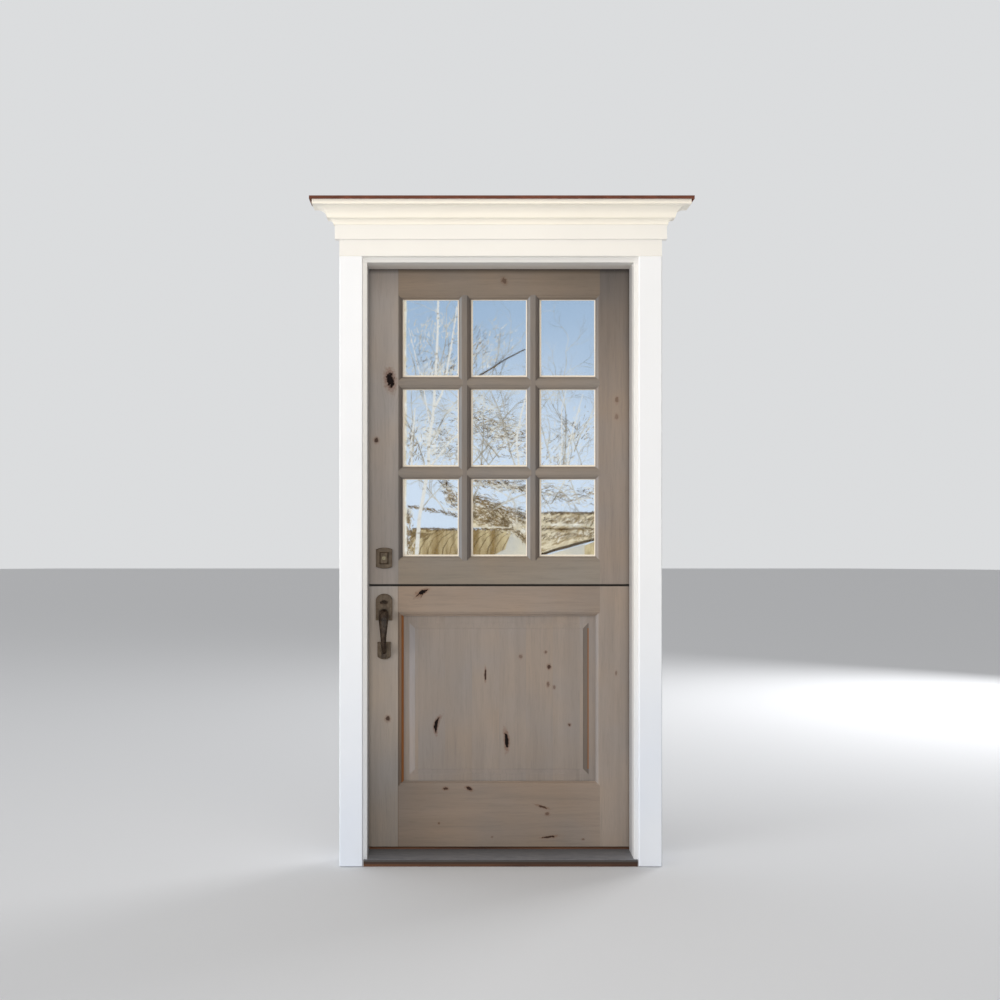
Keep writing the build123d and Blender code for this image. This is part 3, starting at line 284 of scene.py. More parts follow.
def knot_fields(surface, listed, seed):
    """Dark hearts of the knots, the rims about them, and their push on the grain."""
    depth = surface.math("SUBTRACT", surface.parts(surface.place)["Y"], leaf_face)
    across = surface.math("MULTIPLY", depth, knot_lean_across)
    down = surface.math("MULTIPLY", depth, knot_lean_down)
    lean = surface.node("ShaderNodeCombineXYZ", {"X": across, "Z": down})
    flat = surface.vector("SUBTRACT", surface.stretched(1.0, 0.0, 1.0), lean.outputs["Vector"])
    through = surface.span(depth, knot_fade_start, knot_fade_end, 1.0, knot_share_inside)
    wobble = surface.noise(surface.vector("ADD", flat, (seed, 0.0, 0.0)), 110.0, 3.0, 0.65)
    ragged = surface.span(wobble, 0.3, 0.7, -knot_ragged, knot_ragged)
    heart = 0.0
    rim = 0.0
    flow = (0.0, 0.0, 0.0)
    for x, z, half_width, half_height, darkness, tilt, bend in listed:
        offset = surface.vector("SUBTRACT", flat, (x, 0.0, z))
        turn = {"Vector": offset, "Angle": radians(tilt)}
        turned = surface.node("ShaderNodeVectorRotate", turn, rotation_type="Y_AXIS").outputs["Vector"]
        shape = surface.vector("MULTIPLY", turned, (1 / half_width, 0.0, 1 / half_height))
        if bend:
            up = surface.parts(shape)["Z"]
            curve = surface.math("MULTIPLY", surface.math("MULTIPLY", up, up), bend)
            moved = surface.node("ShaderNodeCombineXYZ", {"X": curve})
            shape = surface.vector("ADD", shape, moved.outputs["Vector"])
        distance = surface.vector("LENGTH", shape)
        edge = surface.math("ADD", distance, ragged)
        dark = surface.span(edge, knot_edge, heart_end, darkness, 0.0, True)
        brown = surface.span(edge, knot_edge, rim_end, darkness * rim_share, 0.0, True)
        heart = surface.math("MAXIMUM", heart, dark)
        rim = surface.math("MAXIMUM", rim, brown)
        near = surface.span(distance, push_start, push_end, push_share, 0.0, True)
        flow = surface.vector("ADD", flow, surface.vector("SCALE", offset, near))
    return surface.math("MULTIPLY", heart, through), surface.math("MULTIPLY", rim, through), flow


# Scale of the grain on upright and level pieces, the step between the staves' grain, the depths between which
# the painted light and shade on the outer side end, and how much brighter the tones are laid on
upright_grain = (24.0, 24.0, 1.3)
level_grain = (1.3, 24.0, 24.0)
stave_step = 5.0
shading_fade_start = 0.017
shading_fade_end = 0.030
tone_lift = 1.02


def wood(name, upright, seed, tone, staves, painted_shading, raw):
    """Grey stain over knotty wood, with its own tone and its own stretch of grain.

    Its painted light and shade tint the outer side from a start to an end, along an axis or by how far the
    surface faces it.
    """
    surface = Surface(name)
    listed = knots_inside(name)
    place = surface.place
    places = surface.parts(place)
    if listed:
        heart, rim, flow = knot_fields(surface, listed, seed)
        place = surface.vector("SUBTRACT", place, flow)
    moved = surface.vector("ADD", place, (seed * 1.7, seed * 0.9, seed * 2.3))
    if staves:
        stave = surface.math("FLOOR", surface.math("DIVIDE", places["X"], stave_width))
        chosen = {"W": surface.math("ADD", stave, seed)}
        pick = surface.node("ShaderNodeTexWhiteNoise", chosen, noise_dimensions="1D")
        moved = surface.vector("ADD", moved, surface.vector("SCALE", pick.outputs["Color"], stave_step))
    grain = surface.vector("MULTIPLY", moved, upright_grain if upright else level_grain)
    figure = surface.noise(grain, 1.0, 4.0, 0.55, 0.7)
    lines = surface.noise(grain, 5.0, 3.0, 0.6)
    pores = surface.noise(grain, 20.0, 2.0, 0.6)
    blotch = surface.noise(moved, 4.0, 2.0, 0.5)
    base = shaded(linear(*tone), tone_lift)
    warm = (base[0] * 1.08, base[1] * 1.0, base[2] * 0.91, 1.0)
    cool = (base[0] * 0.96, base[1] * 0.98, base[2] * 1.01, 1.0)
    dark = shaded(base, 0.66)
    color = surface.blend(surface.span(blotch, 0.32, 0.68), cool, warm)
    veins = ((figure, 0.38, 0.75, 0.42), (lines, 0.50, 0.80, 0.40), (pores, 0.55, 0.80, 0.30))
    for vein, low, high, share in veins:
        color = surface.blend(surface.span(vein, low, high, 0.0, share), color, dark)
    if staves:
        color = surface.blend(surface.math("MULTIPLY", pick.outputs["Value"], 0.16), color, dark)
    outer = surface.span(places["Y"], leaf_face + shading_fade_start, leaf_face + shading_fade_end, 1.0, 0.0)
    facing = surface.parts(surface.coordinates["Normal"])
    # Painted light and shade, laid on the outer side only
    for axis, start, end, shading_tint in painted_shading:
        value = facing[axis[-1]] if axis.startswith("facing") else places[axis]
        amount = surface.span(value, start, end, smooth=True)
        shading_tint = shading_tint if isinstance(shading_tint, tuple) else (shading_tint, shading_tint, shading_tint)
        color = surface.blend(surface.math("MULTIPLY", amount, outer), color, (*shading_tint, 1.0), "MULTIPLY")
    if listed:
        color = surface.blend(rim, color, knot_rim)
        color = surface.blend(heart, color, surface.blend(heart, knot_brown, knot_heart))
    for low, high in raw:
        color = surface.blend(surface.inside(low, high), color, raw_wood)
    surface.bump(surface.math("ADD", lines, surface.math("MULTIPLY", pores, 0.6)), 0.10, 0.0008)
    surface.shader.inputs["Specular IOR Level"].default_value = 0.14
    surface.shader.inputs["Coat Weight"].default_value = 0.02
    surface.shader.inputs["Coat Roughness"].default_value = 0.4
    return surface.finish(color, surface.span(pores, 0.3, 0.8, 0.45, 0.62))


# Raw strips that the stain missed beside the panel: widths on the moulding, the panel and the right bevel,
# how far they run on under the mouldings, and where the bevel's strip lies
raw_lip = 0.0042
raw_flat = 0.0034
raw_foot = 0.0036
raw_hidden = 0.003
bevel_inset = 0.045
bevel_foot_x = 0.310
# Width of the soft shade along the leaves' outer edges
edge_shade = 0.024


def paint_woods():
    """Every wooden piece of the leaves, each with its own stretch of grain."""
    foot = panel_sight_foot - raw_hidden
    top = panel_sight_top + raw_hidden
    lip = (panel_sight_left - raw_lip, 0.0, foot), (panel_sight_left + raw_flat, leaf_middle, top)
    bevel_low = (bevel_foot_x - raw_foot, 0.0, foot + bevel_inset)
    bevel = bevel_low, (bevel_foot_x, leaf_middle, top - bevel_inset)
    # Painted shade along the leaves' outer edges by the stops, and a painted shadow under the head
    lock_edge_shade = ("X", leaf_left + edge_shade, leaf_left, 0.66)
    hinge_edge_shade = ("X", leaf_right - edge_shade, leaf_right, 0.62)
    head_shadow = ("Z", upper_leaf_top - 0.028, upper_leaf_top - 0.010, 0.40)
    # Painted shade on the leaves' edges at the meeting line
    meeting_foot_shade = ("Z", upper_leaf_foot + 0.004, upper_leaf_foot + 0.001, 0.12)
    meeting_top_shade = ("Z", lower_leaf_top - 0.0035, lower_leaf_top - 0.001, 0.12)
    # Painted shade on the mouldings that face right, painted light with a cool painted reflection on those
    # that face left
    lock_stick_shade = ("X", sight_left - 0.018, sight_left - 0.0105, (0.55, 0.53, 0.51))
    hinge_stick_light = ("X", sight_right + 0.011, sight_right + 0.008, (1.15, 1.24, 1.36))
    panel_stick_light = ("X", panel_sight_right + 0.011, panel_sight_right + 0.008, (0.97, 1.04, 1.14))
    # Painted shade on the moulding beside the panel's left side, darkest at its outer part
    panel_groove_shade = (
        ("X", panel_sight_left - 0.018, panel_sight_left - 0.0145, (0.50, 0.43, 0.37)),
        ("X", panel_sight_left - 0.013, panel_sight_left - 0.010, (1.55, 1.48, 1.42)),
    )
    # Painted light on the panel's bevels that face left and down, painted shade on those that face right and
    # beside the right bevel
    panel_side_shading = (
        ("facing X", -0.08, -0.16, (1.05, 1.12, 1.24)),
        ("facing X", 0.08, 0.16, (0.72, 0.70, 0.68)),
        ("facing Z", -0.08, -0.16, (1.14, 1.15, 1.17)),
        ("X", 0.300, 0.312, (0.92, 0.92, 0.93)),
    )
    # The fades given with each upright are painted shade, darker towards the head and towards the feet
    uprights = [
        ("upper_stile_lock", (157, 150, 145),
         (lock_edge_shade, head_shadow, meeting_foot_shade, lock_stick_shade, ("Z", 1.90, 2.05, 0.84), ("Z", 1.45, 1.05, 0.88)),
         ()),
        ("upper_stile_hinge", (144, 134, 126),
         (hinge_edge_shade, head_shadow, meeting_foot_shade, hinge_stick_light, ("Z", 1.42, 2.08, 0.54)), ()),
        ("lower_stile_lock", (162, 154, 147),
         (lock_edge_shade, meeting_top_shade, *panel_groove_shade, ("Z", 0.60, 0.10, 0.66)), (lip,)),
        ("lower_stile_hinge", (149, 139, 131), (hinge_edge_shade, meeting_top_shade, panel_stick_light), ()),
        ("raised_panel", (151, 141, 133), (*panel_side_shading, ("Z", 0.52, 0.26, 0.90)), (lip, bevel)),
    ]
    for name in ("muntin_left", "muntin_right"):
        low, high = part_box(name)
        # Painted light with a cool painted reflection on each muntin's left flank, painted shade on its right
        # flank
        flank_shading = (
            ("X", low.x + 0.012, low.x + 0.009, (1.24, 1.38, 1.56)),
            ("X", high.x - 0.0145, high.x - 0.012, (0.76, 0.74, 0.74)),
        )
        uprights.append((name, (131, 124, 118), flank_shading, ()))
    # The fades given with each rail are painted shade towards their ends and painted light at the bottom
    # rail's right end
    levels = (
        ("upper_top_rail", (140, 127, 114), (head_shadow, ("X", 0.00, 0.36, 0.78)), ()),
        ("upper_bottom_rail", (143, 133, 121), (meeting_foot_shade,), ()),
        ("lower_top_rail", (151, 137, 125), (meeting_top_shade, ("X", 0.12, 0.34, 0.90)), ()),
        ("lower_bottom_rail", (140, 127, 116), (("X", -0.10, -0.37, 0.80), ("X", 0.20, 0.36, 1.10)), ()),
        ("muntin_bars", (140, 132, 124), (), ()),
        ("glazing_beads", (138, 129, 120), (), ()),
    )
    seed = 1.0
    for upright, group in ((True, uprights), (False, levels)):
        for name, tone, painted_shading, raw in group:
            paint(wood(name, upright, seed, tone, name == "raised_panel", painted_shading, raw), name)
            seed += 1.0


# Paint, metal, rubber and glass

def white_paint(name, tone, foot):
    """Satin white paint with a faint brush texture, and a tone at the foot that paints cool shade there."""
    surface = Surface(name)
    brush = surface.noise(surface.stretched(40.0, 40.0, 4.0), 1.0, 3.0, 0.6)
    cloud = surface.noise(surface.place, 3.0, 2.0, 0.5)
    # Painted cool shade towards the foot
    low = surface.span(surface.parts(surface.place)["Z"], 1.1, 0.0, smooth=True)
    color = surface.blend(low, tone, foot)
    color = surface.blend(surface.span(cloud, 0.3, 0.7, 0.0, 0.5), color, shaded(tone, 0.94))
    surface.bump(brush, 0.05, 0.0006)
    return surface.finish(color, 0.38)


def bronze(name, dark, light, streak, rough):
    """Oiled bronze, brushed along one axis."""
    surface = Surface(name)
    cloud = surface.noise(surface.place, 70.0, 3.0, 0.6)
    brushed = surface.noise(surface.stretched(*streak), 700.0, 3.0, 0.6)
    color = surface.blend(surface.span(cloud, 0.3, 0.7), dark, light)
    color = surface.blend(surface.span(brushed, 0.45, 0.75, 0.0, 0.55), color, shaded(dark, 0.5))
    surface.bump(brushed, 0.12, 0.0003)
    return surface.finish(color, surface.span(brushed, 0.3, 0.7, rough - 0.06, rough + 0.08), 0.7)


def metal(name, color, rough, streak=(1.0, 1.0, 1.0)):
    """Plain metal with a drawn texture along one axis."""
    surface = Surface(name)
    drawn = surface.noise(surface.stretched(*streak), 300.0, 3.0, 0.6)
    tone = surface.blend(surface.span(drawn, 0.3, 0.7), color, shaded(color, 0.8))
    surface.bump(drawn, 0.05, 0.0003)
    return surface.finish(tone, surface.span(drawn, 0.3, 0.7, rough - 0.06, rough + 0.06), 0.9)


def weathered(surface):
    """Clouds of wear in a coat, which also gets a fine grain."""
    surface.bump(surface.noise(surface.place, 260.0, 2.0, 0.5), 0.05, 0.0004)
    return surface.noise(surface.stretched(1.0, 3.0, 3.0), 22.0, 4.0, 0.6)


def cap_metal():
    """Brown coated sheet of the drip cap."""
    surface = Surface("cap_metal")
    cloud = weathered(surface)
    color = surface.blend(surface.span(cloud, 0.3, 0.7), linear(130, 72, 48), linear(98, 54, 36))
    return surface.finish(color, surface.span(cloud, 0.3, 0.7, 0.37, 0.55), 0.30)


# Sill's nose: heights where it turns brown, and depths where its darker colour starts and is full
nose_tone_top = 0.0175
nose_tone_foot = 0.0155
nose_start = 0.003
nose_full = 0.001


def deck_metal():
    """Grey sheet of the sill, paler towards the front, dark on its nose and brown at the nose's foot."""
    surface = Surface("sill_metal")
    low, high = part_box("sill_deck")
    x, y, z = surface.parts(surface.place)
    cloud = weathered(surface)
    # Paler towards the front of the deck
    toward_front = surface.span(y, leaf_face, low.y, smooth=True)
    color = surface.blend(toward_front, linear(104, 104, 106), linear(142, 143, 149))
    color = surface.blend(surface.span(cloud, 0.3, 0.7, 0.0, 0.6), color, linear(104, 105, 109))
    lower = surface.span(z, nose_tone_top, nose_tone_foot)
    nose = surface.blend(lower, linear(80, 76, 73), linear(66, 47, 35))
    color = surface.blend(surface.span(y, low.y + nose_start, low.y + nose_full), color, nose)
    return surface.finish(color, surface.span(cloud, 0.3, 0.7, 0.45, 0.6), 0.2)


def sill_wood():
    """Brown stained wood of the sill, grain level."""
    surface = Surface("sill_wood")
    grain = surface.noise(surface.stretched(3.0, 60.0, 60.0), 1.0, 4.0, 0.6)
    color = surface.blend(surface.span(grain, 0.3, 0.7), linear(108, 70, 44), linear(66, 40, 24))
    surface.bump(grain, 0.15, 0.0008)
    return surface.finish(color, 0.6)


def grained(name, scale, first, second, strength, distance, rough):
    """Two near tones with a fine grain."""
    surface = Surface(name)
    grain = surface.noise(surface.place, scale, 2.0, 0.5)
    color = surface.blend(surface.span(grain, 0.3, 0.7), linear(*first), linear(*second))
    surface.bump(grain, strength, distance)
    return surface.finish(color, rough)


def window_glass():
    """Double glass that mirrors the sky and lets a little of the room through."""
    surface = Surface("glass")
    waves = surface.noise(surface.place, 5.0, 2.0, 0.5)
    surface.bump(waves, 0.04, 0.002)
    surface.finish((0.88, 0.91, 0.94, 1.0), 0.015, 1.0)
    surface.shader.inputs["Alpha"].default_value = 0.9
    return surface.material


plate_bronze = bronze("plate_bronze", linear(101, 85, 69), linear(134, 115, 94), (1.0, 1.0, 0.06), 0.42)


# White paints: name, tone, tone at the foot, and the nodes that take it. They are lit and shaded copies of
# one
# white paint: the greys of the stops and the lining are painted shade, the head stop's warm grey is painted
# shade warmed by painted light, the head trim and crown take painted warm light, and the tones at the foot
# paint cool shade
white_paints = (
    ("stop_strike_painted_shade", (150, 150, 154), (142, 144, 150), ("stop_strike",)),
    ("stop_hinge_painted_shade", (182, 180, 179), (176, 178, 182), ("stop_hinge",)),
    ("stop_head_painted_shade_and_warm_light", (226, 221, 214), (226, 221, 214), ("stop_head",)),
    ("painted_trim", (246, 247, 249), (222, 229, 241),
     ("casing_left", "casing_right", "jamb_strike", "jamb_hinge", "jamb_head")),
    ("head_trim_painted_warm_light", (243, 240, 234), (243, 240, 234), ("casing_head", "frieze_board")),
    ("crown_painted_warm_light", (254, 248, 235), (254, 248, 235), ("bed_moulding", "crown_moulding")),
    ("lining_painted_shade", (232, 230, 226), (216, 219, 224), ("reveal_lining",)),
)


def paint_others():
    """Everything but the leaves' wood."""
    for name, tone, foot, takers in white_paints:
        paint(white_paint(name, linear(*tone), linear(*foot)), *takers)
    paint(cap_metal(), "drip_cap")
    paint(sill_wood(), "sill_base", "sill_riser")
    paint(deck_metal(), "sill_deck")
    rubber = grained("seal", 400.0, (24, 22, 20), (15, 14, 13), 0.1, 0.0002, 0.75)
    paint(rubber, "frame_seals", "meeting_seal", "bottom_sweep")
    paint(
        plate_bronze,
        "deadbolt_rose_outside", "deadbolt_rose_inside", "thumbturn", "grip_top_plate", "grip_foot_plate",
        "knob_rose_inside", "inside_knob", "hinge_frame_leaves", "upper_hinge_leaves", "lower_hinge_leaves",
        "hinge_pins", "quadrant_plate", "quadrant_arm", "quadrant_keeper",
    )
    bow = bronze("bow_bronze", linear(60, 48, 39), linear(100, 84, 70), (1.0, 1.0, 0.03), 0.28)
    paint(bow, "grip_handle", "thumb_piece")
    paint(metal("lock_collar", linear(120, 103, 82), 0.35), "deadbolt_cylinder")
    paint(metal("lock_plug", linear(172, 155, 124), 0.28), "key_plug")
    steel = metal("lock_steel", linear(168, 165, 158), 0.32, (1.0, 1.0, 0.05))
    paint(steel, "deadbolt_case", "deadbolt", "latch_case", "latch_bolt", "deadbolt_strike", "latch_strike")
    paint(window_glass(), "glass_row_top", "glass_row_middle", "glass_row_bottom")


# Pieces added to the solids

def add_mesh(name, verts, faces, material):
    """Flat-shaded mesh in the scene."""
    data = bpy.data.meshes.new(name)
    data.from_pydata(verts, [], faces)
    data.materials.append(material)
    made = bpy.data.objects.new(name, data)
    bpy.context.scene.collection.objects.link(made)
    return made


def add_piece(name, verts, faces, material, body):
    """Closed mesh that rides on a body, with the material it is given."""
    made = add_mesh(name, verts, faces, material)
    shape = bmesh.new()
    shape.from_mesh(made.data)
    bmesh.ops.recalc_face_normals(shape, faces=shape.faces)
    shape.to_mesh(made.data)
    shape.free()
    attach(made, body)


# Sealant line round each light: width at its left, right, foot and top, how far it stands out from the glass,
# and its section in shares of both
sealant_left = 0.0065
sealant_right = 0.0032
sealant_foot = 0.0058
sealant_top = 0.0022
sealant_rise = 0.0012
sealant_section = ((0.0, 0.0), (0.0, 1.0), (0.55, 0.8), (1.0, 0.0))


def lights():
    """Visible edges of each light, as left, right, foot and top."""
    left_low, left_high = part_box("muntin_left")
    right_low, right_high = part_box("muntin_right")
    bars_low, bars_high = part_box("muntin_bars")
    bar = left_high.x - left_low.x
    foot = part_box("upper_bottom_rail")[1].z
    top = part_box("upper_top_rail")[0].z
    columns = ((sight_left, left_low.x), (left_high.x, right_low.x), (right_high.x, sight_right))
    rows = ((foot, bars_low.z), (bars_low.z + bar, bars_high.z - bar), (bars_high.z, top))
    return [(*column, *row) for row in rows for column in columns]


def add_sealant():
    """Cream line of sealant between the glass and the moulded edge of each light."""
    count = len(sealant_section)
    verts = []
    faces = []
    for left, right, foot, top in lights():
        start = len(verts)
        corners = ((left, foot, 1, 1), (right, foot, -1, 1), (right, top, -1, -1), (left, top, 1, -1))
        for x, z, across, up in corners:
            wide = sealant_left if across > 0 else sealant_right
            tall = sealant_foot if up > 0 else sealant_top
            for reach, rise in sealant_section:
                edge_x = x + across * wide * reach
                edge_z = z + up * tall * reach
                verts.append((edge_x, glass_face - sealant_rise * rise, edge_z))
        for corner in range(4):
            here = start + corner * count
            there = start + (corner + 1) % 4 * count
            for point in range(count):
                after = (point + 1) % count
                faces.append((here + point, there + point, there + after, here + after))
    cream = grained("sealant", 300.0, (248, 240, 226), (240, 226, 204), 0.08, 0.0003, 0.5)
    add_piece("glazing_sealant", verts, faces, cream, "upper_leaf")


# Screws: a domed head with a cross recess, sunk in the plate that it holds
screw_radius = 0.0040
screw_dome = 0.0005
screw_depth = 0.0012
recess_reach = 0.0024
recess_width = 0.0007
recess_depth = 0.0011
screw_rings = 12
screw_steps = 32


def screw_head(verts, faces, place, facing, turn):
    """Adds one closed screw head that looks along a direction."""
    facing = Vector(facing)
    side = facing.orthogonal().normalized()
    up = facing.cross(side)
    across = side * cos(turn) + up * sin(turn)
    along = facing.cross(across)
    start = len(verts)
    place = Vector(place)
    verts.append(place + facing * (screw_dome - recess_depth))
    for ring in range(1, screw_rings + 1):
        radius = screw_radius * ring / screw_rings
        for step in range(screw_steps):
            angle = 2 * pi * step / screw_steps
            u = radius * cos(angle)
            v = radius * sin(angle)
            slot = min(abs(u), abs(v)) < recess_width and radius < recess_reach
            rise = screw_dome * (1 - (radius / screw_radius) ** 2) - (recess_depth if slot else 0.0)
            verts.append(place + across * u + along * v + facing * rise)
    for step in range(screw_steps):
        angle = 2 * pi * step / screw_steps
        edge = across * cos(angle) + along * sin(angle)
        verts.append(place + edge * screw_radius - facing * screw_depth)
    for step in range(screw_steps):
        after = (step + 1) % screw_steps
        faces.append((start, start + 1 + step, start + 1 + after))
        for ring in range(screw_rings):
            inner = start + 1 + ring * screw_steps
            outer = inner + screw_steps
            faces.append((inner + step, outer + step, outer + after, inner + after))
    last = start + 1 + screw_rings * screw_steps
    faces.append(tuple(last + step for step in range(screw_steps)))


# Places of the screws in hinges, lock plates, roses and the stay, the stay plate's thickness, and the least
# gap between two hinges
hinge_screw_inset = 0.0085
hinge_screw_stagger = 0.012
hinge_screw_pitch = 0.032
plate_screw_pitch = 0.0225
rose_screw_reach = 0.0195
stay_screw_reach = 0.0125
stay_plate_depth = 0.0025
hinge_spacing = 0.15


def hinge_screws(node, facing, face_x):
    """Three staggered screws in each flap of a group of hinges."""
    places = []
    heights = sorted({round(vert.co.z, 4) for vert in nodes[node].data.vertices})
    flaps = []
    for height in heights:
        if not flaps or height - flaps[-1][-1] > hinge_spacing:
            flaps.append([height, height])
        flaps[-1][-1] = height
    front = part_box(node)[0].y
    for foot, top in flaps:
        middle = (foot + top) / 2
        for index in (-1, 0, 1):
            y = front + hinge_screw_inset + (0 if index else hinge_screw_stagger)
            places.append(((face_x, y, middle + index * hinge_screw_pitch), facing))
    return places


def plate_screws(node, facing, face_x):
    """Two screws, above and below the middle of a faceplate or strike."""
    low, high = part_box(node)
    middle = (low.z + high.z) / 2
    return [((face_x, leaf_middle, middle + side * plate_screw_pitch), facing) for side in (-1, 1)]


def rose_screws(node):
    """Two screws beside the middle of an inside rose."""
    low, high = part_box(node)
    middle = (low + high) / 2
    return [((middle.x + side * rose_screw_reach, high.y, middle.z), (0, 1, 0)) for side in (-1, 1)]


def stay_screws():
    """Four screws at the corners of the stay's plate."""
    low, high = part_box("quadrant_plate")
    middle = (low + high) / 2
    face = leaf_back + stay_plate_depth - screw_dome
    return [((middle.x + x * stay_screw_reach, face, middle.z + z * stay_screw_reach), (0, 1, 0))
            for x in (-1, 1) for z in (-1, 1)]


def add_screws():
    """Screw heads on hinges, strikes, lock faceplates, roses and the stay."""
    left = (-1, 0, 0)
    right = (1, 0, 0)
    groups = {
        "frame": hinge_screws("hinge_frame_leaves", left, jamb_right)
        + plate_screws("deadbolt_strike", right, jamb_left)
        + plate_screws("latch_strike", right, jamb_left),
        "upper_leaf": hinge_screws("upper_hinge_leaves", right, leaf_right)
        + plate_screws("deadbolt_case", left, leaf_left)
        + rose_screws("deadbolt_rose_inside")
        + stay_screws(),
        "lower_leaf": hinge_screws("lower_hinge_leaves", right, leaf_right)
        + plate_screws("latch_case", left, leaf_left)
        + rose_screws("knob_rose_inside"),
    }
    chance = Random(5)
    for body, places in groups.items():
        verts = []
        faces = []
        for place, facing in places:
            screw_head(verts, faces, place, facing, chance.uniform(0, pi / 2))
        add_piece(f"screws_{body}", verts, faces, plate_bronze, body)


# Stage

def add_stage(name, verts, faces, material):
    """Mesh that is no part of the object."""
    made = add_mesh(name, verts, faces, material)
    return made


def add_room():
    """Plain pale shell far behind everything, seen only by the camera."""
    shape = bmesh.new()
    bmesh.ops.create_uvsphere(shape, u_segments=48, v_segments=24, radius=40.0)
    data = bpy.data.meshes.new("room")
    shape.to_mesh(data)
    shape.free()
    data.materials.append(glow("room", lambda surface: (0.71, 0.72, 0.73, 1.0)))
    room = bpy.data.objects.new("room", data)
    bpy.context.scene.collection.objects.link(room)
    room.visible_diffuse = False
    room.visible_glossy = False
    room.visible_transmission = False
    room.visible_shadow = False


def add_floor():
    """Pale plain floor under the sill, which nothing mirrors."""
    surface = Surface("floor")
    surface.finish((0.72, 0.73, 0.75, 1.0), 0.8)
    reach = 38.0
    corners = [(-reach, -reach, 0), (reach, -reach, 0), (reach, reach, 0), (-reach, reach, 0)]
    floor = add_stage("floor", corners, [(0, 1, 2, 3)], surface.material)
    floor.visible_glossy = False


# Backdrop behind the camera that only the lights mirror: sky, bare birches and a low house.
# It is drawn by the places where it shows in the lights, as (x, z) in metres.

backdrop_y = -6.0
mirror_scale = (2 * glass_face - camera_y - backdrop_y) / (glass_face - camera_y)
layer_gap = 0.004
# How many gaps each layer stands in front of the sky
layers = {
    "boards": 1.0, "seams": 1.2, "walls": 1.5, "roofs": 2.0, "roof_edges": 3.0, "pale_marks": 3.2,
    "brown_marks": 3.4, "pale_edges": 3.6, "twigs": 4.0, "birches": 5.0, "dark_branches": 6.0,
}


def mirrored(x, z, layer):
    """Point of the backdrop that shows at a place in the lights."""
    return (
        camera_x + (x - camera_x) * mirror_scale,
        backdrop_y + layer * layer_gap,
        camera_z + (z - camera_z) * mirror_scale,
    )


def glow(name, color):
    """Backdrop colour that gives its own light."""
    surface = Surface(name)
    emission = surface.node("ShaderNodeEmission", {"Color": color(surface)})
    surface.feed(surface.tree.nodes["Material Output"].inputs["Surface"], emission.outputs[0])
    return surface.material


def add_backdrop(name, verts, faces, color):
    """Piece of the backdrop, which only mirrors show."""
    made = add_stage(name, verts, faces, glow(name, color))
    made.visible_camera = False
    made.visible_diffuse = False
    made.visible_shadow = False


# How twigs grow: parts of a branch, its bend in each, how often and how far a fork turns off,
# and how lengths and widths shrink
branch_steps = 4
branch_bend = 0.24
fork_share = 0.85
fork_turns = (0.35, 0.85)
fork_lengths = (0.4, 0.65)
fork_width = 0.55
tip_width = 0.45


class Strokes:
    """Flat tapered strokes of one colour on one layer of the backdrop."""

    def __init__(self, name):
        self.name = name
        self.layer = layers[name]
        self.verts = []
        self.faces = []

    def stroke(self, points, start_width, end_width):
        """Band along a line of points."""
        count = len(points)
        first = len(self.verts)
        for index, (x, z) in enumerate(points):
            before = points[max(index - 1, 0)]
            after = points[min(index + 1, count - 1)]
            heading = Vector((after[0] - before[0], after[1] - before[1])).normalized()
            half = (start_width + (end_width - start_width) * index / (count - 1)) / 2
            for side in (-1, 1):
                edge_x = x - side * heading.y * half
                edge_z = z + side * heading.x * half
                self.verts.append(mirrored(edge_x, edge_z, self.layer))
        for index in range(count - 1):
            here = first + 2 * index
            self.faces.append((here, here + 1, here + 3, here + 2))

    def panel(self, points):
        """Filled outline."""
        first = len(self.verts)
        self.verts.extend(mirrored(x, z, self.layer) for x, z in points)
        self.faces.append(tuple(range(first, first + len(points))))

    def grow(self, start, heading, length, width, level, chance):
        """Branch that bends and forks into finer ones."""
        points = [start]
        forks = []
        for _ in range(branch_steps):
            heading += chance.uniform(-branch_bend, branch_bend)
            x = points[-1][0] + cos(heading) * length / branch_steps
            z = points[-1][1] + sin(heading) * length / branch_steps
            points.append((x, z))
            if level > 0 and chance.random() < fork_share:
                forks.append((points[-1], heading + chance.choice((-1, 1)) * chance.uniform(*fork_turns)))
        self.stroke(points, width, width * tip_width)
        for place, turned in forks:
            shorter = length * chance.uniform(*fork_lengths)
            self.grow(place, turned, shorter, width * fork_width, level - 1, chance)

    def show(self, color):
        """Adds what was drawn to the backdrop."""
        add_backdrop(self.name, self.verts, self.faces, color)


def sky_color(surface):
    """Pale blue, lighter towards the roofs."""
    up = surface.parts(surface.place)["Z"]
    cloud = surface.noise(surface.place, 0.7, 3.0, 0.5)
    high = surface.math("ADD", up, surface.span(cloud, 0.3, 0.7, -0.2, 0.2))
    rise = surface.span(high, 1.4, 3.0, smooth=True)
    return surface.blend(rise, linear(224, 238, 253), linear(172, 197, 223))


def bark_color(surface):
    """Cream bark with dark marks."""
    marks = surface.noise(surface.stretched(14.0, 1.0, 40.0), 1.0, 3.0, 0.6)
    return surface.blend(surface.span(marks, 0.56, 0.68), linear(240, 238, 230), linear(158, 144, 118))


def board_color(surface):
    """Tan upright boards of the house."""
    boards = surface.noise(surface.stretched(9.0, 1.0, 1.0), 1.0, 2.0, 0.5)
    ragged = surface.noise(surface.stretched(30.0, 1.0, 6.0), 1.0, 3.0, 0.6)
    tone = surface.blend(surface.span(boards, 0.4, 0.6), linear(220, 202, 158), linear(150, 124, 78))
    return surface.blend(surface.span(ragged, 0.5, 0.7, 0.0, 0.6), tone, linear(100, 80, 46))


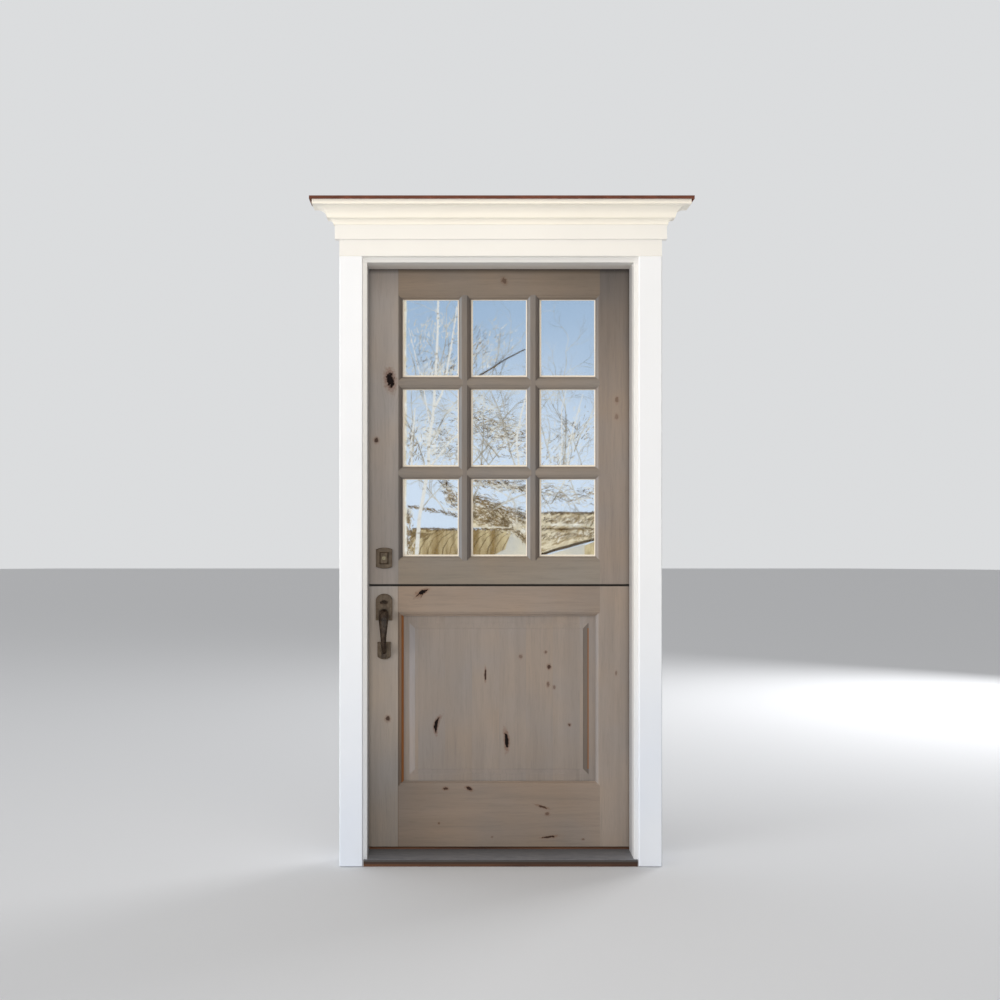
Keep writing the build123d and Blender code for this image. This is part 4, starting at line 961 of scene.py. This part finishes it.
def shingle_color(surface):
    """Mottled tan of the roofs."""
    turn = {"Vector": surface.place, "Angle": radians(18)}
    turned = surface.node("ShaderNodeVectorRotate", turn, rotation_type="Y_AXIS").outputs["Vector"]
    rows = surface.noise(surface.vector("MULTIPLY", turned, (7.0, 1.0, 34.0)), 1.0, 4.0, 0.7)
    return surface.blend(surface.span(rows, 0.42, 0.6), linear(242, 228, 196), linear(160, 136, 92))


def mottled(scale, first, second, detail=2.0, rough=0.5):
    """Colour that wanders between two tones."""
    def color(surface):
        cloud = surface.noise(surface.place, scale, detail, rough)
        return surface.blend(surface.span(cloud, 0.35, 0.65), linear(*first), linear(*second))
    return color


# Twigs, edges of the roofs and nearest branches, sunlit strokes, strokes in shade, and walls
twig_color = mottled(6.0, (234, 230, 216), (120, 106, 80), 3.0, 0.6)
dark_color = mottled(9.0, (98, 80, 52), (64, 50, 32))
pale_color = mottled(11.0, (252, 248, 236), (226, 212, 178))
brown_color = mottled(11.0, (146, 122, 80), (80, 60, 32))
wall_color = mottled(6.0, (228, 220, 198), (200, 200, 194))


# Trunks and stout branches: points, and widths at the start and the end
trunks = (
    (((-0.286, 1.02), (-0.277, 1.16), (-0.255, 1.28), (-0.243, 1.35), (-0.243, 1.43), (-0.228, 1.52),
      (-0.219, 1.66), (-0.213, 1.80), (-0.209, 1.95)), 0.014, 0.007),
    (((-0.228, 1.54), (-0.198, 1.60), (-0.180, 1.68), (-0.163, 1.78), (-0.146, 1.90)), 0.009, 0.004),
    (((-0.240, 1.50), (-0.262, 1.62), (-0.290, 1.74), (-0.312, 1.83)), 0.005, 0.002),
    (((-0.243, 1.34), (-0.205, 1.39), (-0.165, 1.44), (-0.140, 1.46)), 0.007, 0.004),
    (((0.070, 1.34), (0.060, 1.44), (0.075, 1.52), (0.100, 1.62)), 0.008, 0.004),
    (((0.235, 1.32), (0.240, 1.42), (0.262, 1.50), (0.290, 1.60)), 0.006, 0.002),
    (((0.205, 1.30), (0.218, 1.42), (0.215, 1.55), (0.232, 1.62)), 0.005, 0.002),
    (((-0.300, 1.32), (-0.305, 1.42), (-0.290, 1.55)), 0.008, 0.004),
)
near_branches = (
    (((-0.080, 1.655), (-0.030, 1.685), (0.030, 1.722), (0.090, 1.752)), 0.006, 0.004),
    (((-0.092, 1.64), (-0.040, 1.63), (0.030, 1.655), (0.095, 1.640)), 0.004, 0.003),
)
# Edges of the roofs, and pale lines by them and at the far left
roof_lines = (
    (((-0.30, 1.132), (-0.22, 1.134), (0.05, 1.130)), 0.003, 0.003),
    (((-0.10, 1.222), (0.02, 1.186), (0.12, 1.148)), 0.003, 0.003),
    (((0.13, 1.188), (0.24, 1.189), (0.36, 1.188)), 0.005, 0.005),
    (((0.13, 1.131), (0.25, 1.134), (0.36, 1.134)), 0.003, 0.003),
    (((0.13, 1.040), (0.19, 1.060), (0.24, 1.072), (0.36, 1.106)), 0.010, 0.010),
)
pale_lines = (
    (((0.13, 1.146), (0.22, 1.148), (0.30, 1.147)), 0.006, 0.006),
    (((-0.10, 1.138), (-0.02, 1.139), (0.04, 1.136)), 0.003, 0.003),
    (((-0.327, 0.90), (-0.327, 1.30), (-0.327, 2.00)), 0.014, 0.014),
)
# Forks of twigs: place, heading in degrees, length, width and how often they fork again
twigs = (
    (-0.25, 1.30, 100, 0.26, 0.005, 3), (-0.24, 1.42, 55, 0.24, 0.005, 3), (-0.23, 1.52, 120, 0.26, 0.004, 3),
    (-0.22, 1.64, 70, 0.26, 0.004, 3), (-0.18, 1.66, 95, 0.22, 0.003, 3), (-0.29, 1.62, 110, 0.22, 0.003, 3),
    (-0.30, 1.40, 80, 0.22, 0.004, 3), (-0.18, 1.44, 25, 0.20, 0.004, 3), (-0.09, 1.36, 40, 0.26, 0.005, 4),
    (-0.06, 1.33, 75, 0.26, 0.005, 4), (0.00, 1.38, 120, 0.26, 0.005, 4), (0.06, 1.34, 100, 0.28, 0.005, 4),
    (0.08, 1.48, 170, 0.24, 0.004, 4), (0.02, 1.56, 200, 0.18, 0.003, 3), (-0.08, 1.60, 60, 0.24, 0.003, 2),
    (0.22, 1.34, 80, 0.28, 0.005, 4), (0.26, 1.40, 60, 0.24, 0.004, 4), (0.18, 1.36, 110, 0.22, 0.004, 3),
    (0.29, 1.34, 100, 0.22, 0.003, 3), (-0.02, 1.20, 20, 0.22, 0.006, 4), (-0.09, 1.24, 60, 0.20, 0.005, 4),
    (0.18, 1.22, 50, 0.20, 0.004, 3), (0.28, 1.22, 110, 0.18, 0.004, 3), (-0.27, 1.20, 60, 0.18, 0.004, 3),
    (-0.18, 1.18, 130, 0.18, 0.005, 3), (0.06, 1.26, 160, 0.20, 0.005, 4), (-0.10, 1.28, 10, 0.24, 0.005, 4),
)


# Loose strokes that break up the edges and fill the crowns: ends of a line, how far they stray from it,
# how many, and their heading in degrees
brown_marks = (
    ((-0.190, 1.300), (-0.150, 1.210), 0.016, 160, -35), ((-0.100, 1.305), (0.100, 1.270), 0.014, 260, -22),
    ((-0.100, 1.240), (0.100, 1.170), 0.018, 520, -20), ((-0.100, 1.195), (0.040, 1.145), 0.022, 420, -30),
    ((0.010, 1.160), (0.100, 1.085), 0.008, 120, -45), ((-0.314, 1.200), (-0.314, 1.040), 0.010, 150, 80),
    ((-0.310, 1.212), (-0.140, 1.180), 0.004, 90, -12), ((-0.290, 1.131), (0.050, 1.131), 0.003, 150, 0),
    ((-0.310, 1.115), (-0.240, 1.110), 0.012, 120, 40), ((0.150, 1.186), (0.336, 1.188), 0.003, 120, 4),
    ((0.150, 1.160), (0.336, 1.160), 0.011, 130, 35), ((0.150, 1.132), (0.336, 1.134), 0.003, 90, 2),
    ((0.150, 1.105), (0.336, 1.115), 0.013, 130, 35), ((-0.100, 1.530), (0.090, 1.420), 0.050, 420, -8),
    ((-0.230, 1.470), (-0.140, 1.400), 0.040, 110, -6), ((-0.300, 1.480), (-0.290, 1.360), 0.020, 70, 70),
    ((0.190, 1.370), (0.290, 1.500), 0.045, 90, 50), ((0.145, 1.250), (0.336, 1.250), 0.024, 110, 0),
    ((-0.240, 1.680), (-0.160, 1.700), 0.035, 90, 60), ((-0.095, 1.690), (-0.060, 1.800), 0.025, 60, 55),
)
pale_marks = (
    ((-0.190, 1.300), (-0.150, 1.200), 0.018, 120, -35), ((-0.100, 1.300), (0.100, 1.265), 0.016, 160, -22),
    ((-0.100, 1.235), (0.100, 1.165), 0.018, 380, -20), ((-0.100, 1.190), (0.100, 1.120), 0.022, 380, -30),
    ((0.020, 1.160), (0.090, 1.110), 0.012, 120, -45), ((-0.314, 1.200), (-0.310, 1.040), 0.012, 120, 80),
    ((0.150, 1.160), (0.336, 1.160), 0.012, 130, 35), ((0.150, 1.146), (0.336, 1.146), 0.002, 140, 0),
    ((0.150, 1.105), (0.336, 1.120), 0.013, 120, 35), ((-0.100, 1.530), (0.090, 1.400), 0.055, 420, 20),
    ((-0.290, 1.480), (-0.150, 1.400), 0.055, 420, 60), ((0.180, 1.370), (0.300, 1.500), 0.050, 190, 60),
    ((-0.280, 1.640), (-0.170, 1.700), 0.035, 200, 70), ((-0.300, 1.780), (-0.180, 1.840), 0.050, 120, 75),
    ((0.145, 1.250), (0.336, 1.250), 0.028, 120, 0), ((-0.095, 1.680), (0.000, 1.800), 0.040, 110, 50),
)


# Loose strokes: how much of the stray they take, the spread of their headings in degrees, and their half
# lengths, widths, bend and tapering
stray_share = 0.7
heading_spread = 22
mark_halves = (0.003, 0.011)
mark_widths = (0.0012, 0.0030)
mark_bend = 0.0012
mark_end = 0.4


def add_marks(name, listed, chance, color):
    """Short strokes scattered along lines."""
    marks = Strokes(name)
    for start, end, stray, count, heading in listed:
        for _ in range(count):
            along = chance.random()
            x = start[0] + (end[0] - start[0]) * along + chance.gauss(0, stray) * stray_share
            z = start[1] + (end[1] - start[1]) * along + chance.gauss(0, stray) * stray_share
            turn = radians(heading + chance.gauss(0, heading_spread))
            half = chance.uniform(*mark_halves)
            width = chance.uniform(*mark_widths)
            across = cos(turn) * half
            rise = sin(turn) * half
            bend = chance.gauss(0, mark_bend)
            points = [(x - across, z - rise), (x, z + bend), (x + across, z + rise)]
            marks.stroke(points, width, width * mark_end)
    marks.show(color)


def add_lines(name, lines, color):
    """Strokes along given lines, each with its own widths."""
    strokes = Strokes(name)
    for points, start_width, end_width in lines:
        strokes.stroke(points, start_width, end_width)
    strokes.show(color)


# Seams of the boards: how many, the first one's place, the step to the next, and the widths at their ends
seam_count = 15
seam_left = -0.33
seam_step = 0.026
seam_widths = (0.0042, 0.0016)


def add_house():
    """Low house under the trees: boards and their seams, pale walls, two roofs and their edges."""
    boards = Strokes("boards")
    boards.panel([(-0.36, 0.90), (0.02, 0.90), (0.05, 1.060), (0.04, 1.128), (-0.30, 1.130)])
    boards.panel([(0.295, 0.90), (0.36, 0.90), (0.36, 1.100), (0.295, 1.075)])
    boards.show(board_color)
    seams = Strokes("seams")
    for index in range(seam_count):
        x = seam_left + index * seam_step
        points = [(x, 1.020), (x + 0.006, 1.065), (x + 0.026, 1.100), (x + 0.062, 1.124)]
        seams.stroke(points, *seam_widths)
    seams.show(brown_color)
    walls = Strokes("walls")
    walls.panel([(-0.04, 1.030), (0.02, 1.060), (0.05, 1.135), (0.10, 1.120), (0.10, 0.90), (-0.04, 0.90)])
    walls.panel([(0.12, 0.90), (0.295, 0.90), (0.295, 1.080), (0.12, 1.030)])
    walls.show(wall_color)
    roofs = Strokes("roofs")
    roofs.panel([(-0.10, 1.225), (0.00, 1.195), (0.10, 1.160), (0.10, 1.07), (0.04, 1.125), (-0.10, 1.140)])
    roofs.panel([(0.12, 1.190), (0.36, 1.190), (0.36, 1.110), (0.24, 1.076), (0.12, 1.040)])
    roofs.show(shingle_color)
    add_lines("roof_edges", roof_lines, dark_color)
    add_lines("pale_edges", pale_lines, pale_color)
    chance = Random(23)
    add_marks("pale_marks", pale_marks, chance, pale_color)
    add_marks("brown_marks", brown_marks, chance, brown_color)


def add_trees():
    """Birch trunks, twigs grown from chosen places, and two dark branches in front."""
    add_lines("birches", trunks, bark_color)
    chance = Random(11)
    fine = Strokes("twigs")
    for x, z, heading, length, width, level in twigs:
        fine.grow((x, z), radians(heading), length, width, level, chance)
    fine.show(twig_color)
    add_lines("dark_branches", near_branches, dark_color)


def add_sky():
    """Wide sky behind the house and the trees."""
    reach = 7.0
    y = backdrop_y
    corners = [(-reach, y, 0.0), (reach, y, 0.0), (reach, y, reach), (-reach, y, reach)]
    add_backdrop("sky", corners, [(0, 1, 2, 3)], sky_color)


# Light

# Even light all round: its strength, and how much that grows along X, Y and Z
world_level = 0.48
world_lean = (-0.44, 0.0, 0.10)
# Lamps: name, place, target, size, power and colour
lamps = (
    ("key", (-9.0, -5.2, 1.8), (0.0, 0.1, 1.1), 4.5, 590.0, (1.0, 0.995, 0.985)),
    ("ceiling", (0.0, -1.6, 3.0), (0.0, 0.0, 2.1), 1.6, 10.0, (1.0, 0.84, 0.62)),
    ("back", (4.6, 4.8, 2.8), (0.0, 0.1, 1.0), 3.0, 260.0, (1.0, 1.0, 1.0)),
    ("bounce", (0.0, -2.4, 0.15), (0.0, 0.0, 2.2), 2.4, 15.0, (1.0, 0.95, 0.86)),
)


def add_lamp(name, location, target, size, power, color):
    """Soft square light that nothing mirrors."""
    data = bpy.data.lights.new(name, "AREA")
    data.shape = "SQUARE"
    data.size = size
    data.energy = power
    data.color = color
    made = bpy.data.objects.new(name, data)
    made.location = location
    made.rotation_euler = (Vector(target) - Vector(location)).to_track_quat("-Z", "Y").to_euler()
    made.visible_glossy = False
    bpy.context.scene.collection.objects.link(made)
    return made


def add_light():
    """Even light, stronger from the left, and the lamps, whose key light the frame doesn't shade."""
    world = bpy.data.worlds.new("studio")
    world.use_nodes = True
    tree = world.node_tree
    place = tree.nodes.new("ShaderNodeTexCoord")
    lean = tree.nodes.new("ShaderNodeVectorMath")
    lean.operation = "DOT_PRODUCT"
    lean.inputs[1].default_value = world_lean
    level = tree.nodes.new("ShaderNodeMath")
    level.inputs[1].default_value = world_level
    tree.links.new(place.outputs["Generated"], lean.inputs[0])
    tree.links.new(lean.outputs["Value"], level.inputs[0])
    background = tree.nodes["Background"].inputs
    tree.links.new(level.outputs[0], background["Strength"])
    background["Color"].default_value = (1.0, 1.0, 1.0, 1.0)
    bpy.context.scene.world = world
    made = {name: add_lamp(name, *settings) for name, *settings in lamps}
    blockers = bpy.data.collections.new("key_blockers")
    for node in nodes.values():
        if body_of(node) != ["frame"]:
            blockers.objects.link(node)
    made["key"].light_linking.blocker_collection = blockers
    bpy.context.scene.view_settings.view_transform = "Standard"


paint_woods()
paint_others()
add_sealant()
add_screws()
add_floor()
add_room()
add_sky()
add_house()
add_trees()
add_light()
add_camera()
